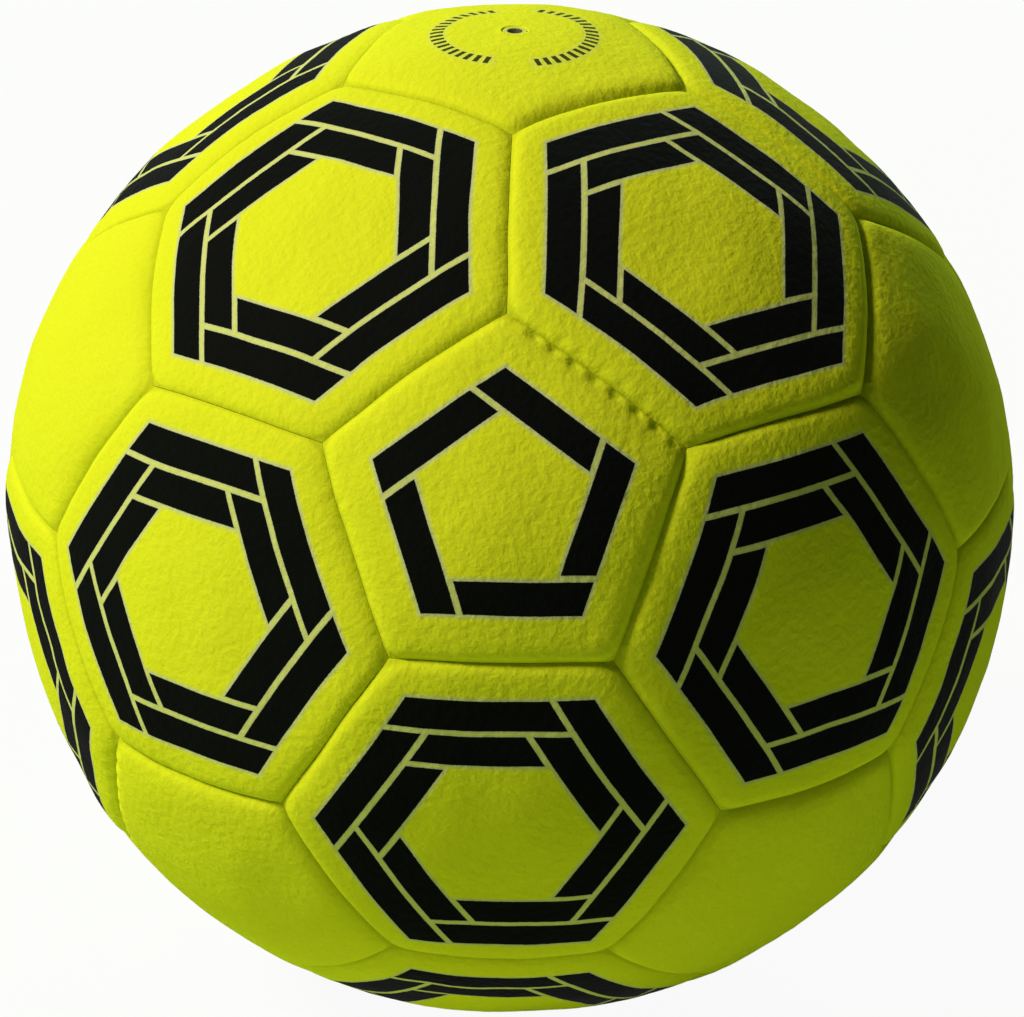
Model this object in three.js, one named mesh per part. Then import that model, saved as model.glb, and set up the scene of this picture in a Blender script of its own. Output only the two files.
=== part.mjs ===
// Felt-covered indoor football, size 5, hand-sewn from 32 panels round an inflated bladder.
// Millimetres, +Z up. The origin is the centre of the ball, +Z runs out through the valve, and
// pentagon_upper_1 faces -Y, tilted up. The other panels of a row are numbered from there,
// counter-clockwise as seen from the valve.
//
// Twelve pentagons and twenty hexagons follow a truncated icosahedron drawn on the ball. Each
// panel is a laminate of felt on a cloth backing: it is crowned by the pressure inside, rolls
// over at its edge and turns inwards as a seam allowance that stands back to back with its
// neighbour's. One lashing of thread lies in the valleys and holds the 32 panels together. The
// bladder is pressed out into every panel and creased where it passes under the allowances.

import * as THREE from 'three';
import { mergeVertices } from 'three/addons/utils/BufferGeometryUtils.js';

// Ball
const ballDiameter = 219.6; // over the crowns of the pentagons, 690 mm round
const crownRise = 1.0; // how far a pentagon's centre stands above its shoulders
const hexagonDip = 2.4; // how far a hexagon, larger and flatter, has its centre inside a pentagon's

// Cover panels
const coverThickness = 3.6; // felt and cloth backing, bonded
const shoulderRadius = 3.4; // roll of the felt into the seam
const innerFillet = 0.8; // inside corner between the panel and its allowance
const allowanceThickness = 2.4; // the laminate, pressed thin by the stitches
const allowanceHeight = 3.0; // how far the allowance stands below the roll
const seamGap = 0.3; // between two allowances, back to back

// Thread
const threadWidth = 1.4;

// Bladder
const bladderWall = 0.8;

// Valve plug, pushed into the housing
const neckRadius = 2.5; // passes through the valve panel
const neckRecess = 0.6; // how far the mouth lies below the felt
const plugRadius = 3.4;
const plugLength = 15.0; // below the shoulder under the panel
const plugTipRadius = 1.7;
const plugTipLength = 4.0;
const collarRadius = 4.2;
const collarHeight = 2.0;
const collarDepth = 4.5; // from the shoulder to the collar's upper face
const mouthRadius = 1.6;
const mouthDepth = 2.2;
const needleRadius = 0.7;

// Valve housing, moulded to the bladder round the plug
const housingWall = 1.8; // outside the groove for the collar
const housingTipWall = 1.9; // outside the bore, at the foot
const housingLength = 13.5;
const rimRadius = 13.0; // the patch that is bonded under the bladder's skin
const rimThickness = 1.3;
const rimRootThickness = 2.6;

// Clearance between pieces that touch
const clearance = 0.3;

// Facets
const seamSteps = 3; // straight steps along one side of a panel
const bladderSteps = 2; // and of the bladder under it
const holeSteps = 3; // round a hole, for one side of the valve pentagon
const valveSegments = 15;
const crownRings = 3; // from the centre of a panel to its shoulder

const ballRadius = ballDiameter / 2;
const allowanceTip = ballRadius - crownRise - shoulderRadius - allowanceHeight;
const panelHoleRadius = neckRadius + clearance;
const boreRadius = plugRadius + clearance;
const grooveRadius = collarRadius + clearance;
const housingRadius = grooveRadius + housingWall;
const bladderMouthRadius = housingRadius + clearance;

// The truncated icosahedron: pentagon axes, hexagon axes and the sixty seam corners.

const ringAngle = Math.atan(0.5);

function onSphere(latitude, azimuthDegrees) {
  const azimuth = THREE.MathUtils.degToRad(azimuthDegrees);
  return new THREE.Vector3(
    Math.cos(latitude) * Math.cos(azimuth),
    Math.cos(latitude) * Math.sin(azimuth),
    Math.sin(latitude)
  );
}

const frontAzimuth = -90;
const azimuthStep = 360 / 5;
const numbered = [1, 2, 3, 4, 5];

function ringOfFive(latitude, startAzimuth) {
  return numbered.map((number) => onSphere(latitude, startAzimuth + (number - 1) * azimuthStep));
}

const valveAxis = new THREE.Vector3(0, 0, 1);
const upperRing = ringOfFive(ringAngle, frontAzimuth);
const lowerRing = ringOfFive(-ringAngle, frontAzimuth + azimuthStep / 2);
const pentagonAxes = [valveAxis, ...upperRing, ...lowerRing, valveAxis.clone().negate()];

function areNeighbours(a, b) {
  return Math.abs(a.dot(b) - Math.sin(ringAngle)) < 1e-6;
}

// A seam corner lies a third of the way from one pentagon axis to a neighbouring one.
function seamCorner(from, to) {
  return from.clone().add(from).add(to).normalize();
}

const seamCorners = [];
for (const from of pentagonAxes) {
  for (const to of pentagonAxes) {
    if (from !== to && areNeighbours(from, to)) seamCorners.push(seamCorner(from, to));
  }
}

// The corners round one axis, counter-clockwise as seen from outside.
function cornersRound(axis, sides) {
  const nearest = seamCorners
    .map((corner, index) => ({ index, distance: corner.distanceTo(axis) }))
    .sort((a, b) => a.distance - b.distance)
    .slice(0, sides)
    .map((entry) => entry.index);
  const across = seamCorners[nearest[0]].clone().addScaledVector(axis, -seamCorners[nearest[0]].dot(axis));
  const along = axis.clone().cross(across);
  const bearing = (index) => Math.atan2(seamCorners[index].dot(along), seamCorners[index].dot(across));
  return nearest.sort((a, b) => bearing(a) - bearing(b));
}

function describePanel(name, axis, sides) {
  const cornerIndices = cornersRound(axis, sides);
  const corners = cornerIndices.map((index) => seamCorners[index]);
  // Inward normals of the seam planes, which all pass through the ball's centre.
  const normals = corners.map((corner, side) => corner.clone().cross(corners[(side + 1) % sides]).normalize());
  const sineToSeam = normals[0].dot(axis);
  return { name, axis, sides, cornerIndices, corners, normals, sineToSeam };
}

function hexagonAxis(a, b, c) {
  return a.clone().add(b).add(c).normalize();
}

function describePanels() {
  const next = (index) => (index + 1) % 5;
  const bottomAxis = pentagonAxes[11];
  const panels = [describePanel('pentagon_valve', valveAxis, 5)];
  const rows = {
    pentagon_upper: upperRing,
    pentagon_lower: lowerRing,
    hexagon_crown: upperRing.map((axis, i) => hexagonAxis(valveAxis, axis, upperRing[next(i)])),
    hexagon_upper: upperRing.map((axis, i) => hexagonAxis(axis, upperRing[next(i)], lowerRing[i])),
    hexagon_lower: lowerRing.map((axis, i) => hexagonAxis(axis, lowerRing[next(i)], upperRing[next(i)])),
    hexagon_base: lowerRing.map((axis, i) => hexagonAxis(bottomAxis, axis, lowerRing[next(i)])),
  };
  for (const [row, axes] of Object.entries(rows)) {
    const sides = row.startsWith('pentagon') ? 5 : 6;
    axes.forEach((axis, i) => panels.push(describePanel(`${row}_${numbered[i]}`, axis, sides)));
  }
  panels.push(describePanel('pentagon_bottom', bottomAxis, 5));
  return panels;
}

const panels = describePanels();
const valvePanel = panels[0];

// Rings of points. inset is the distance from the seam planes and radius that from the centre.

function insetCorner(panel, corner, inset, radius) {
  const before = panel.normals[(corner + panel.sides - 1) % panel.sides];
  const after = panel.normals[corner % panel.sides];
  const offset = before.clone().add(after).multiplyScalar(inset / (1 + before.dot(after)));
  const along = Math.sqrt(radius * radius - offset.lengthSq());
  return offset.addScaledVector(panel.corners[corner % panel.sides], along);
}

// The points of one side, in the plane at that inset, from its first corner to its second.
function sidePoints(panel, side, inset, radius, steps) {
  const normal = panel.normals[side];
  const start = insetCorner(panel, side, inset, radius);
  const end = insetCorner(panel, side + 1, inset, radius);
  const reach = Math.sqrt(radius * radius - inset * inset);
  const points = [];
  for (let step = 0; step <= steps; step++) {
    const point = start.clone().lerp(end, step / steps);
    point.addScaledVector(normal, -point.dot(normal)).setLength(reach).addScaledVector(normal, inset);
    points.push(point);
  }
  return points;
}

function panelRing(panel, inset, radius, steps) {
  return panel.normals.map((_, side) => sidePoints(panel, side, inset, radius, steps));
}

function poleRing(panel, radius) {
  const pole = panel.axis.clone().multiplyScalar(radius);
  return panel.normals.map(() => [pole]);
}

// A round hole about the panel's axis, its points spread evenly over the sides.
function holeRing(panel, holeRadius, radius) {
  const height = Math.sqrt(radius * radius - holeRadius * holeRadius);
  const across = panel.corners[0].clone().projectOnPlane(panel.axis).normalize();
  const along = panel.axis.clone().cross(across);
  return panel.normals.map((_, side) => {
    const points = [];
    for (let step = 0; step <= holeSteps; step++) {
      const angle = ((side + step / holeSteps) * 2 * Math.PI) / panel.sides;
      const point = panel.axis.clone().multiplyScalar(height);
      point.addScaledVector(across, holeRadius * Math.cos(angle));
      points.push(point.addScaledVector(along, holeRadius * Math.sin(angle)));
    }
    return points;
  });
}

// Collects triangles, and turns them into one closed geometry with shared vertices.
class Skin {
  constructor() {
    this.positions = [];
  }

  triangle(a, b, c) {
    for (const point of [a, b, c]) this.positions.push(point.x, point.y, point.z);
  }

  // Fills between two rows of points that run the same way. lower lies to the right of upper.
  strip(lower, upper) {
    const lowerSteps = lower.length - 1;
    const upperSteps = upper.length - 1;
    let i = 0;
    let k = 0;
    while (i < lowerSteps || k < upperSteps) {
      const lowerNext = lowerSteps > 0 ? (i + 1) / lowerSteps : Infinity;
      const upperNext = upperSteps > 0 ? (k + 1) / upperSteps : Infinity;
      if (i < lowerSteps && lowerNext <= upperNext) {
        this.triangle(lower[i], lower[i + 1], upper[k]);
        i += 1;
      } else {
        this.triangle(lower[i], upper[k + 1], upper[k]);
        k += 1;
      }
    }
  }

  band(lowerRing, upperRing) {
    lowerRing.forEach((lower, side) => this.strip(lower, upperRing[side]));
  }

  // A skin through rings that run from the middle of the outside to the middle of the inside.
  rings(rings) {
    for (let i = 1; i < rings.length; i++) this.band(rings[i], rings[i - 1]);
  }

  geometry() {
    const soup = new THREE.BufferGeometry();
    soup.setAttribute('position', new THREE.Float32BufferAttribute(this.positions, 3));
    const closed = mergeVertices(soup, 1e-4);
    closed.computeVertexNormals();
    return closed;
  }
}

// Profile of a panel, as heights above the ball's centre at an inset from the seam planes.

function insetOfPole(panel) {
  return ballRadius * panel.sineToSeam;
}

function middleRadius(panel) {
  return panel.sides === 6 ? ballRadius - hexagonDip : ballRadius;
}

// All panels meet at one level. From their centres they near it with the square of the way.
function crownRadius(panel, inset) {
  const share = 1 - inset / insetOfPole(panel);
  return THREE.MathUtils.lerp(middleRadius(panel), ballRadius - crownRise, share * share);
}

const shoulderInset = seamGap / 2 + shoulderRadius;
const allowanceInset = seamGap / 2 + allowanceThickness;
const filletInset = allowanceInset + innerFillet;
const liningAtValve = ballRadius - coverThickness;
const rollAngles = [Math.PI / 4, 0];

function rollInset(angle) {
  return seamGap / 2 + shoulderRadius * (1 - Math.cos(angle));
}

function rollDepth(angle) {
  return shoulderRadius * (1 - Math.sin(angle));
}

function outsideRings(panel) {
  const rings = [];
  for (let ring = 1; ring <= crownRings; ring++) {
    const inset = THREE.MathUtils.lerp(insetOfPole(panel), shoulderInset, ring / crownRings);
    rings.push(panelRing(panel, inset, crownRadius(panel, inset), Math.min(ring, seamSteps)));
  }
  for (const angle of rollAngles) {
    const inset = rollInset(angle);
    rings.push(panelRing(panel, inset, crownRadius(panel, inset) - rollDepth(angle), seamSteps));
  }
  return rings;
}

function allowanceRings(panel) {
  const filletFoot = crownRadius(panel, allowanceInset) - coverThickness - innerFillet;
  return [
    panelRing(panel, seamGap / 2, allowanceTip, seamSteps),
    panelRing(panel, allowanceInset, allowanceTip, seamSteps),
    panelRing(panel, allowanceInset, filletFoot, seamSteps),
  ];
}

function liningRadius(panel, inset) {
  return crownRadius(panel, inset) - coverThickness;
}

function halfwayInset(panel) {
  return (insetOfPole(panel) + filletInset) / 2;
}

function insideRings(panel) {
  const halfway = halfwayInset(panel);
  return [
    panelRing(panel, filletInset, liningRadius(panel, filletInset), seamSteps),
    panelRing(panel, halfway, liningRadius(panel, halfway), 1),
  ];
}

function panelBody(panel) {
  return [...outsideRings(panel), ...allowanceRings(panel), ...insideRings(panel)];
}

function panelGeometry(panel) {
  const skin = new Skin();
  const middle = middleRadius(panel);
  skin.rings([poleRing(panel, middle), ...panelBody(panel), poleRing(panel, middle - coverThickness)]);
  return skin.geometry();
}

// The valve panel is punched for the plug's neck, and lies on the bladder's mouth round it.
function valvePanelGeometry(panel) {
  const skin = new Skin();
  const outerEdge = holeRing(panel, panelHoleRadius, ballRadius);
  const innerEdge = holeRing(panel, panelHoleRadius, liningAtValve);
  const seat = holeRing(panel, bladderMouthRadius, liningAtValve);
  skin.rings([outerEdge, ...panelBody(panel), seat, innerEdge, outerEdge]);
  return skin.geometry();
}

// Seams, each shared by two panels. The second panel runs along it the other way.

function findSeams() {
  const seams = new Map();
  panels.forEach((panel) => {
    panel.cornerIndices.forEach((index, side) => {
      const following = panel.cornerIndices[(side + 1) % panel.sides];
      const key = [Math.min(index, following), Math.max(index, following)].join();
      if (!seams.has(key)) seams.set(key, []);
      seams.get(key).push({ panel, side });
    });
  });
  return [...seams.values()];
}

const seams = findSeams();

// The three panels that meet at each seam corner, counter-clockwise round it.
function findCornerTriples() {
  return seamCorners.map((corner, index) => {
    const meeting = panels
      .filter((panel) => panel.cornerIndices.includes(index))
      .map((panel) => ({ panel, place: panel.cornerIndices.indexOf(index) }));
    const [a, b, c] = meeting.map((entry) => entry.panel.axis);
    const turn = a.clone().cross(b).dot(corner) + b.clone().cross(c).dot(corner) + c.clone().cross(a).dot(corner);
    return turn > 0 ? meeting : meeting.reverse();
  });
}

const cornerTriples = findCornerTriples();

// Lays a web across every seam, from one panel's row to the other's, and closes the corners.
function webAcrossSeams(skin, inset, radius, steps, facingOut) {
  for (const [first, second] of seams) {
    const near = sidePoints(first.panel, first.side, inset, radius, steps);
    const far = sidePoints(second.panel, second.side, inset, radius, steps).reverse();
    if (facingOut) skin.strip(far, near);
    else skin.strip(near, far);
  }
  for (const triple of cornerTriples) {
    const [a, b, c] = triple.map(({ panel, place }) => insetCorner(panel, place, inset, radius));
    if (facingOut) skin.triangle(a, b, c);
    else skin.triangle(a, c, b);
  }
}

// The valley between two shoulders, as half its width at a depth below the shoulders.
const valleyProfile = [Math.PI / 2, ...rollAngles].map((angle) => ({
  halfWidth: rollInset(angle),
  depth: rollDepth(angle),
}));

// Thread lashed along all ninety seams. It is a wedge, sunk between the lowest facets of the
// two rolls until they hold it.
function threadGeometry() {
  const skin = new Skin();
  const [, middle, lowest] = valleyProfile;
  const widening = (middle.halfWidth - lowest.halfWidth) / (lowest.depth - middle.depth);
  const foot = lowest.depth - (clearance - lowest.halfWidth) / widening;
  const top = foot - threadWidth / 2 / widening;
  const footRadius = ballRadius - crownRise - foot;
  const topRadius = ballRadius - crownRise - top;
  webAcrossSeams(skin, threadWidth / 2, topRadius, seamSteps, true);
  for (const panel of panels) {
    const edge = panelRing(panel, threadWidth / 2, topRadius, seamSteps);
    skin.band(edge, panelRing(panel, 0, footRadius, seamSteps));
  }
  return skin.geometry();
}

// How far the middle of a straight step lies below the arc that it spans.
const seamAngle = seamCorners[panels[0].cornerIndices[0]].angleTo(seamCorners[panels[0].cornerIndices[1]]);

function chordDrop(radius, steps) {
  return radius * (1 - Math.cos(seamAngle / (2 * steps)));
}

// Bladder. wallDepth is 0 for its outer skin and the wall's thickness for its inner one.

const bladderFloor = allowanceTip - chordDrop(allowanceTip, seamSteps) - clearance;
const bladderFootInset = allowanceInset + clearance;
const bladderShoulderInset = filletInset + clearance;

function bladderCrownRadius(panel, inset) {
  return liningRadius(panel, inset) - clearance;
}

function bladderDome(panel, wallDepth) {
  const halfway = halfwayInset(panel);
  const shoulderDrop = chordDrop(ballRadius, seamSteps);
  const shoulderTop = bladderCrownRadius(panel, bladderShoulderInset) - shoulderDrop;
  const middle = middleRadius(panel) - coverThickness - clearance - wallDepth;
  return [
    panel === valvePanel ? holeRing(panel, bladderMouthRadius, middle) : poleRing(panel, middle),
    panelRing(panel, halfway, bladderCrownRadius(panel, halfway) - wallDepth, 1),
    panelRing(panel, bladderShoulderInset + wallDepth, shoulderTop - wallDepth, bladderSteps),
    panelRing(panel, bladderFootInset + wallDepth, bladderFloor - wallDepth, bladderSteps),
  ];
}

function bladderGeometry() {
  const skin = new Skin();
  for (const panel of panels) {
    const outer = bladderDome(panel, 0);
    const inner = bladderDome(panel, bladderWall);
    skin.rings(outer);
    skin.rings([...inner].reverse());
    if (panel === valvePanel) skin.band(outer[0], inner[0]);
  }
  webAcrossSeams(skin, bladderFootInset, bladderFloor, bladderSteps, true);
  webAcrossSeams(skin, bladderFootInset + bladderWall, bladderFloor - bladderWall, bladderSteps, false);
  return skin.geometry();
}

// Valve, turned about +Z. Profiles are [radius, height] pairs that close on themselves.

function heightOnSphere(radius, distance) {
  return Math.sqrt(radius * radius - distance * distance);
}

const underLining = liningAtValve - clearance;
const shoulderHeight = heightOnSphere(underLining, plugRadius);

function turned(profile) {
  const points = [...profile, profile[0]].map(([radius, height]) => new THREE.Vector2(radius, height));
  return new THREE.LatheGeometry(points, valveSegments).rotateX(Math.PI / 2);
}

function plugGeometry() {
  const face = ballRadius - neckRecess;
  const collarTop = shoulderHeight - collarDepth;
  const collarFoot = collarTop - collarHeight;
  const tip = shoulderHeight - plugLength;
  return turned([
    [mouthRadius, face],
    [needleRadius, face - mouthDepth],
    [needleRadius, tip],
    [plugTipRadius, tip],
    [plugRadius, tip + plugTipLength],
    [plugRadius, collarFoot],
    [collarRadius, collarFoot],
    [collarRadius, collarTop],
    [plugRadius, collarTop],
    [plugRadius, shoulderHeight],
    [neckRadius, shoulderHeight],
    [neckRadius, face],
  ]);
}

// The rim lies under the lowest facets of the bladder's inner skin round the mouth.
function rimSphere() {
  const halfway = halfwayInset(valvePanel);
  const skinRadius = bladderCrownRadius(valvePanel, halfway) - bladderWall;
  const [start, end] = sidePoints(valvePanel, 0, halfway, skinRadius, 1);
  return heightOnSphere(skinRadius, start.distanceTo(end) / 2) - clearance;
}

function housingGeometry() {
  const collarTop = shoulderHeight - collarDepth + clearance;
  const collarFoot = shoulderHeight - collarDepth - collarHeight - clearance;
  const foot = shoulderHeight - housingLength;
  const rimTop = heightOnSphere(rimSphere(), housingRadius);
  const rimEdge = heightOnSphere(rimSphere(), rimRadius);
  return turned([
    [boreRadius, heightOnSphere(underLining, boreRadius)],
    [boreRadius, collarTop],
    [grooveRadius, collarTop],
    [grooveRadius, collarFoot],
    [boreRadius, collarFoot],
    [boreRadius, foot],
    [boreRadius + housingTipWall, foot],
    [housingRadius, rimTop - rimRootThickness],
    [rimRadius, rimEdge - rimThickness],
    [rimRadius, rimEdge],
    [housingRadius, rimTop],
    [housingRadius, heightOnSphere(underLining, housingRadius)],
  ]);
}

// Materials, one for each mesh.

function finish(color, roughness) {
  return new THREE.MeshStandardMaterial({ color, roughness, metalness: 0 });
}

const feltColor = 0xc9d814;
const threadColor = 0x4d5410;
const bladderColor = 0x1d1d1f;
const housingColor = 0x2a2a2c;
const plugColor = 0xa9b52a;

const group = new THREE.Group();

function add(name, geometry, material) {
  const mesh = new THREE.Mesh(geometry, material);
  mesh.name = name;
  group.add(mesh);
}

for (const panel of panels) {
  const geometry = panel === valvePanel ? valvePanelGeometry(panel) : panelGeometry(panel);
  add(panel.name, geometry, finish(feltColor, 0.95));
}
add('seam_thread', threadGeometry(), finish(threadColor, 0.8));
add('bladder', bladderGeometry(), finish(bladderColor, 0.6));
add('valve_housing', housingGeometry(), finish(housingColor, 0.6));
add('valve_plug', plugGeometry(), finish(plugColor, 0.55));

export default group;
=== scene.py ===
"""Looks of a hand-sewn football with a felt cover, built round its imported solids.

The cover is 32 panels of napped felt. Each is cut as a lattice that lies on the ball, and a
Geometry Nodes tree crowns it, rolls its edge into the seams and puckers it at the stitches.
Another tree lays the thread in the seams. The bladder and the valve inside are modelled too. A
studio with a pale floor, a key lamp and a back lamp shows the ball from above the front.

Lengths are in metres, and MM turns millimetres into them.
"""

import logging
import math
from dataclasses import dataclass, field
from enum import Enum

import bpy
import numpy as np
from mathutils import Matrix, Vector


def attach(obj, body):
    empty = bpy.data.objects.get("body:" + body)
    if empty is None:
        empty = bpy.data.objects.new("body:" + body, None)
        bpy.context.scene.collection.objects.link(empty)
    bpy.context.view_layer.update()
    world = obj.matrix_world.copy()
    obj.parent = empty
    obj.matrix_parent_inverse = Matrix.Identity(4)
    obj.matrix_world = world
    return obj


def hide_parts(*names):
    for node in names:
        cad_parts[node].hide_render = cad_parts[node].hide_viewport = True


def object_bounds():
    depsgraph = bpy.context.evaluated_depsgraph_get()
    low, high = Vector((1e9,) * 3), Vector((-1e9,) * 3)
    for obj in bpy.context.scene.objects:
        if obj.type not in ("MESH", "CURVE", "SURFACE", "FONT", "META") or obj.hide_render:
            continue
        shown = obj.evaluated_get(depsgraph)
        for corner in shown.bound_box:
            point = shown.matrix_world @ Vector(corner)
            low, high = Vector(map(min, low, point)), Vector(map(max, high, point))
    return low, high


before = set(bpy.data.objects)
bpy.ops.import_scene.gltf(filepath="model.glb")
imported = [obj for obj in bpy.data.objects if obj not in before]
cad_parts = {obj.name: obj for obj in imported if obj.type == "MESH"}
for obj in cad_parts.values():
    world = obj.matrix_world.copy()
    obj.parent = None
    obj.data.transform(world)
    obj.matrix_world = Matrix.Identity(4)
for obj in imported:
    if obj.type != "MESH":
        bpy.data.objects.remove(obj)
CAD_LOW, CAD_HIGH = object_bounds()

MM = 0.001
BALL_RADIUS = (CAD_HIGH.z - CAD_LOW.z) / 2
BODY = "root"
VALVE_PANEL = "pentagon_valve"
FRONT_PANEL = "pentagon_upper_1"
BAKE_MAP = "OFBake"

# What counts as nothing, beside a length of 1.
TINY = 1e-9

log = logging.getLogger("football")

Socket = bpy.types.NodeSocket
Fed = Socket | float | int | bool | str | tuple[float, ...]
Colour = tuple[float, float, float]


def unit(vector: np.ndarray) -> np.ndarray:
    """Returns vectors of length 1 along the last axis."""
    return vector / np.linalg.norm(vector, axis=-1, keepdims=True)


def eased(share: np.ndarray | float) -> np.ndarray | float:
    """Returns a share from 0 to 1 that starts and ends gently."""
    return share * share * (3 - 2 * share)


def link(name: str, data: bpy.types.ID) -> bpy.types.Object:
    """Puts a mesh, lamp or camera in the scene as an object at the origin.

    Args:
        name: name of the object.
        data: the mesh, lamp or camera.

    Returns:
        The new object.
    """
    thing = bpy.data.objects.new(name, data)
    bpy.context.scene.collection.objects.link(thing)
    return thing


def mesh_of(name: str, points: np.ndarray, triangles: np.ndarray) -> bpy.types.Mesh:
    """Makes a smooth mesh.

    Args:
        name: name of the mesh.
        points: one row of coordinates for each vertex.
        triangles: one row of three vertex numbers for each face.

    Returns:
        The new mesh.
    """
    mesh = bpy.data.meshes.new(name)
    mesh.vertices.add(len(points))
    mesh.vertices.foreach_set("co", points.astype(np.float32).ravel())
    mesh.loops.add(triangles.size)
    mesh.loops.foreach_set("vertex_index", triangles.astype(np.int32).ravel())
    mesh.polygons.add(len(triangles))
    mesh.polygons.foreach_set("loop_start", np.arange(0, triangles.size, 3, dtype=np.int32))
    mesh.polygons.foreach_set("use_smooth", np.ones(len(triangles), dtype=bool))
    mesh.update(calc_edges=True)
    return mesh


def finish_piece(name: str, mesh: bpy.types.Mesh, node: str) -> None:
    """Puts a finished piece in the scene in place of its solid.

    Args:
        name: name of the piece.
        mesh: its shape, which wears its material.
        node: the solid that it stands for.
    """
    piece = link(name, mesh)
    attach(piece, BODY)
    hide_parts(node)
    log.info("%s: %d faces", name, len(mesh.polygons))


# Where the panels lie: a truncated icosahedron with a pentagon on +Z.


@dataclass(frozen=True)
class PanelPlace:
    """One panel of the ball.

    Attributes:
        name: the panel's node.
        sides: 5 or 6.
        turn: rotation whose columns are the panel's own axes on the ball. Its Z runs out
            through the panel's middle and its X passes over its first corner.
    """

    name: str
    sides: int
    turn: np.ndarray


@dataclass(frozen=True)
class BallPattern:
    """Directions of the pentagons, hexagons and seam corners.

    Attributes:
        ring_height: angle of the upper ring of pentagons above the equator.
        front: azimuth of the first panel of the upper ring, in degrees.
    """

    ring_height: float = math.atan(0.5)
    front: float = -90.0

    def ring(self, height: float, start: float) -> np.ndarray:
        """Returns five directions round the ball at one height.

        Args:
            height: angle above the equator, in radians.
            start: azimuth of the first, in degrees.

        Returns:
            One row for each direction.
        """
        azimuths = np.radians(start + np.arange(5) * 72.0)
        flat = np.column_stack([np.cos(azimuths), np.sin(azimuths)]) * math.cos(height)
        return np.column_stack([flat, np.full(5, math.sin(height))])

    def pentagons(self) -> dict[str, np.ndarray]:
        """Returns the pentagons' directions by the name of their row."""
        top = np.array([[0.0, 0.0, 1.0]])
        return {
            VALVE_PANEL: top,
            "pentagon_upper": self.ring(self.ring_height, self.front),
            "pentagon_lower": self.ring(-self.ring_height, self.front + 36.0),
            "pentagon_bottom": -top,
        }

    def hexagons(self) -> dict[str, np.ndarray]:
        """Returns the hexagons' directions by row. Each lies between three pentagons."""
        pentagons = self.pentagons()
        upper = pentagons["pentagon_upper"]
        lower = pentagons["pentagon_lower"]
        upper_next = np.roll(upper, -1, axis=0)
        lower_next = np.roll(lower, -1, axis=0)
        return {
            "hexagon_crown": unit(pentagons[VALVE_PANEL] + upper + upper_next),
            "hexagon_upper": unit(upper + upper_next + lower),
            "hexagon_lower": unit(lower + lower_next + upper_next),
            "hexagon_base": unit(pentagons["pentagon_bottom"] + lower + lower_next),
        }

    def seam_corners(self) -> np.ndarray:
        """Returns the sixty corners, each a third of the way between two near pentagons."""
        axes = np.concatenate(list(self.pentagons().values()))
        near = np.abs(axes @ axes.T - math.sin(self.ring_height)) < TINY
        first, second = np.nonzero(near)
        return unit(2 * axes[first] + axes[second])

    def places(self) -> list[PanelPlace]:
        """Returns all 32 panels."""
        found = []
        for sides, rows in ((5, self.pentagons()), (6, self.hexagons())):
            for row, axes in rows.items():
                for number, axis in enumerate(axes, start=1):
                    name = row if len(axes) == 1 else f"{row}_{number}"
                    found.append(PanelPlace(name, sides, self.turn_of(axis)))
        return found

    def turn_of(self, axis: np.ndarray) -> np.ndarray:
        """Returns the rotation of a panel, its X towards its nearest corner.

        Args:
            axis: direction of the panel's middle.

        Returns:
            A matrix whose columns are the panel's own axes.
        """
        corners = self.seam_corners()
        # Rounded, so that the first of all equally near corners is taken.
        nearest = corners[np.argmax(np.round(corners @ axis, 6))]
        across = unit(nearest - axis * (nearest @ axis))
        return np.column_stack([across, np.cross(axis, across), axis])

    def seams(self) -> list[tuple[np.ndarray, np.ndarray]]:
        """Returns the ends of the ninety seams, each the short way between two corners."""
        corners = self.seam_corners()
        closeness = corners @ corners.T - 2 * np.eye(len(corners))
        joined = closeness > closeness.max() - TINY
        pairs = np.argwhere(np.triu(joined))
        return [(corners[first], corners[second]) for first, second in pairs]


def seam_angle() -> float:
    """Returns the angle that one seam spans at the ball's centre."""
    first, second = BallPattern().seams()[0]
    return math.acos(first @ second)


# Nodes


@dataclass(frozen=True)
class Grain:
    """A noise about one half.

    Attributes:
        scale: features for each unit of the place that it is read at.
        detail: how many finer layers are added.
        seed: another value gives other noise.
    """

    scale: float
    detail: float = 2.0
    seed: float = 0.0


@dataclass(frozen=True)
class Step:
    """A smooth step: a number that goes from low to high comes out from start to end."""

    low: float
    high: float
    start: float = 0.0
    end: float = 1.0


def opaque(colour: Fed) -> Fed:
    """Returns a colour of three numbers with a fourth that makes it opaque."""
    return (*colour, 1.0) if isinstance(colour, tuple) else colour


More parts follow.
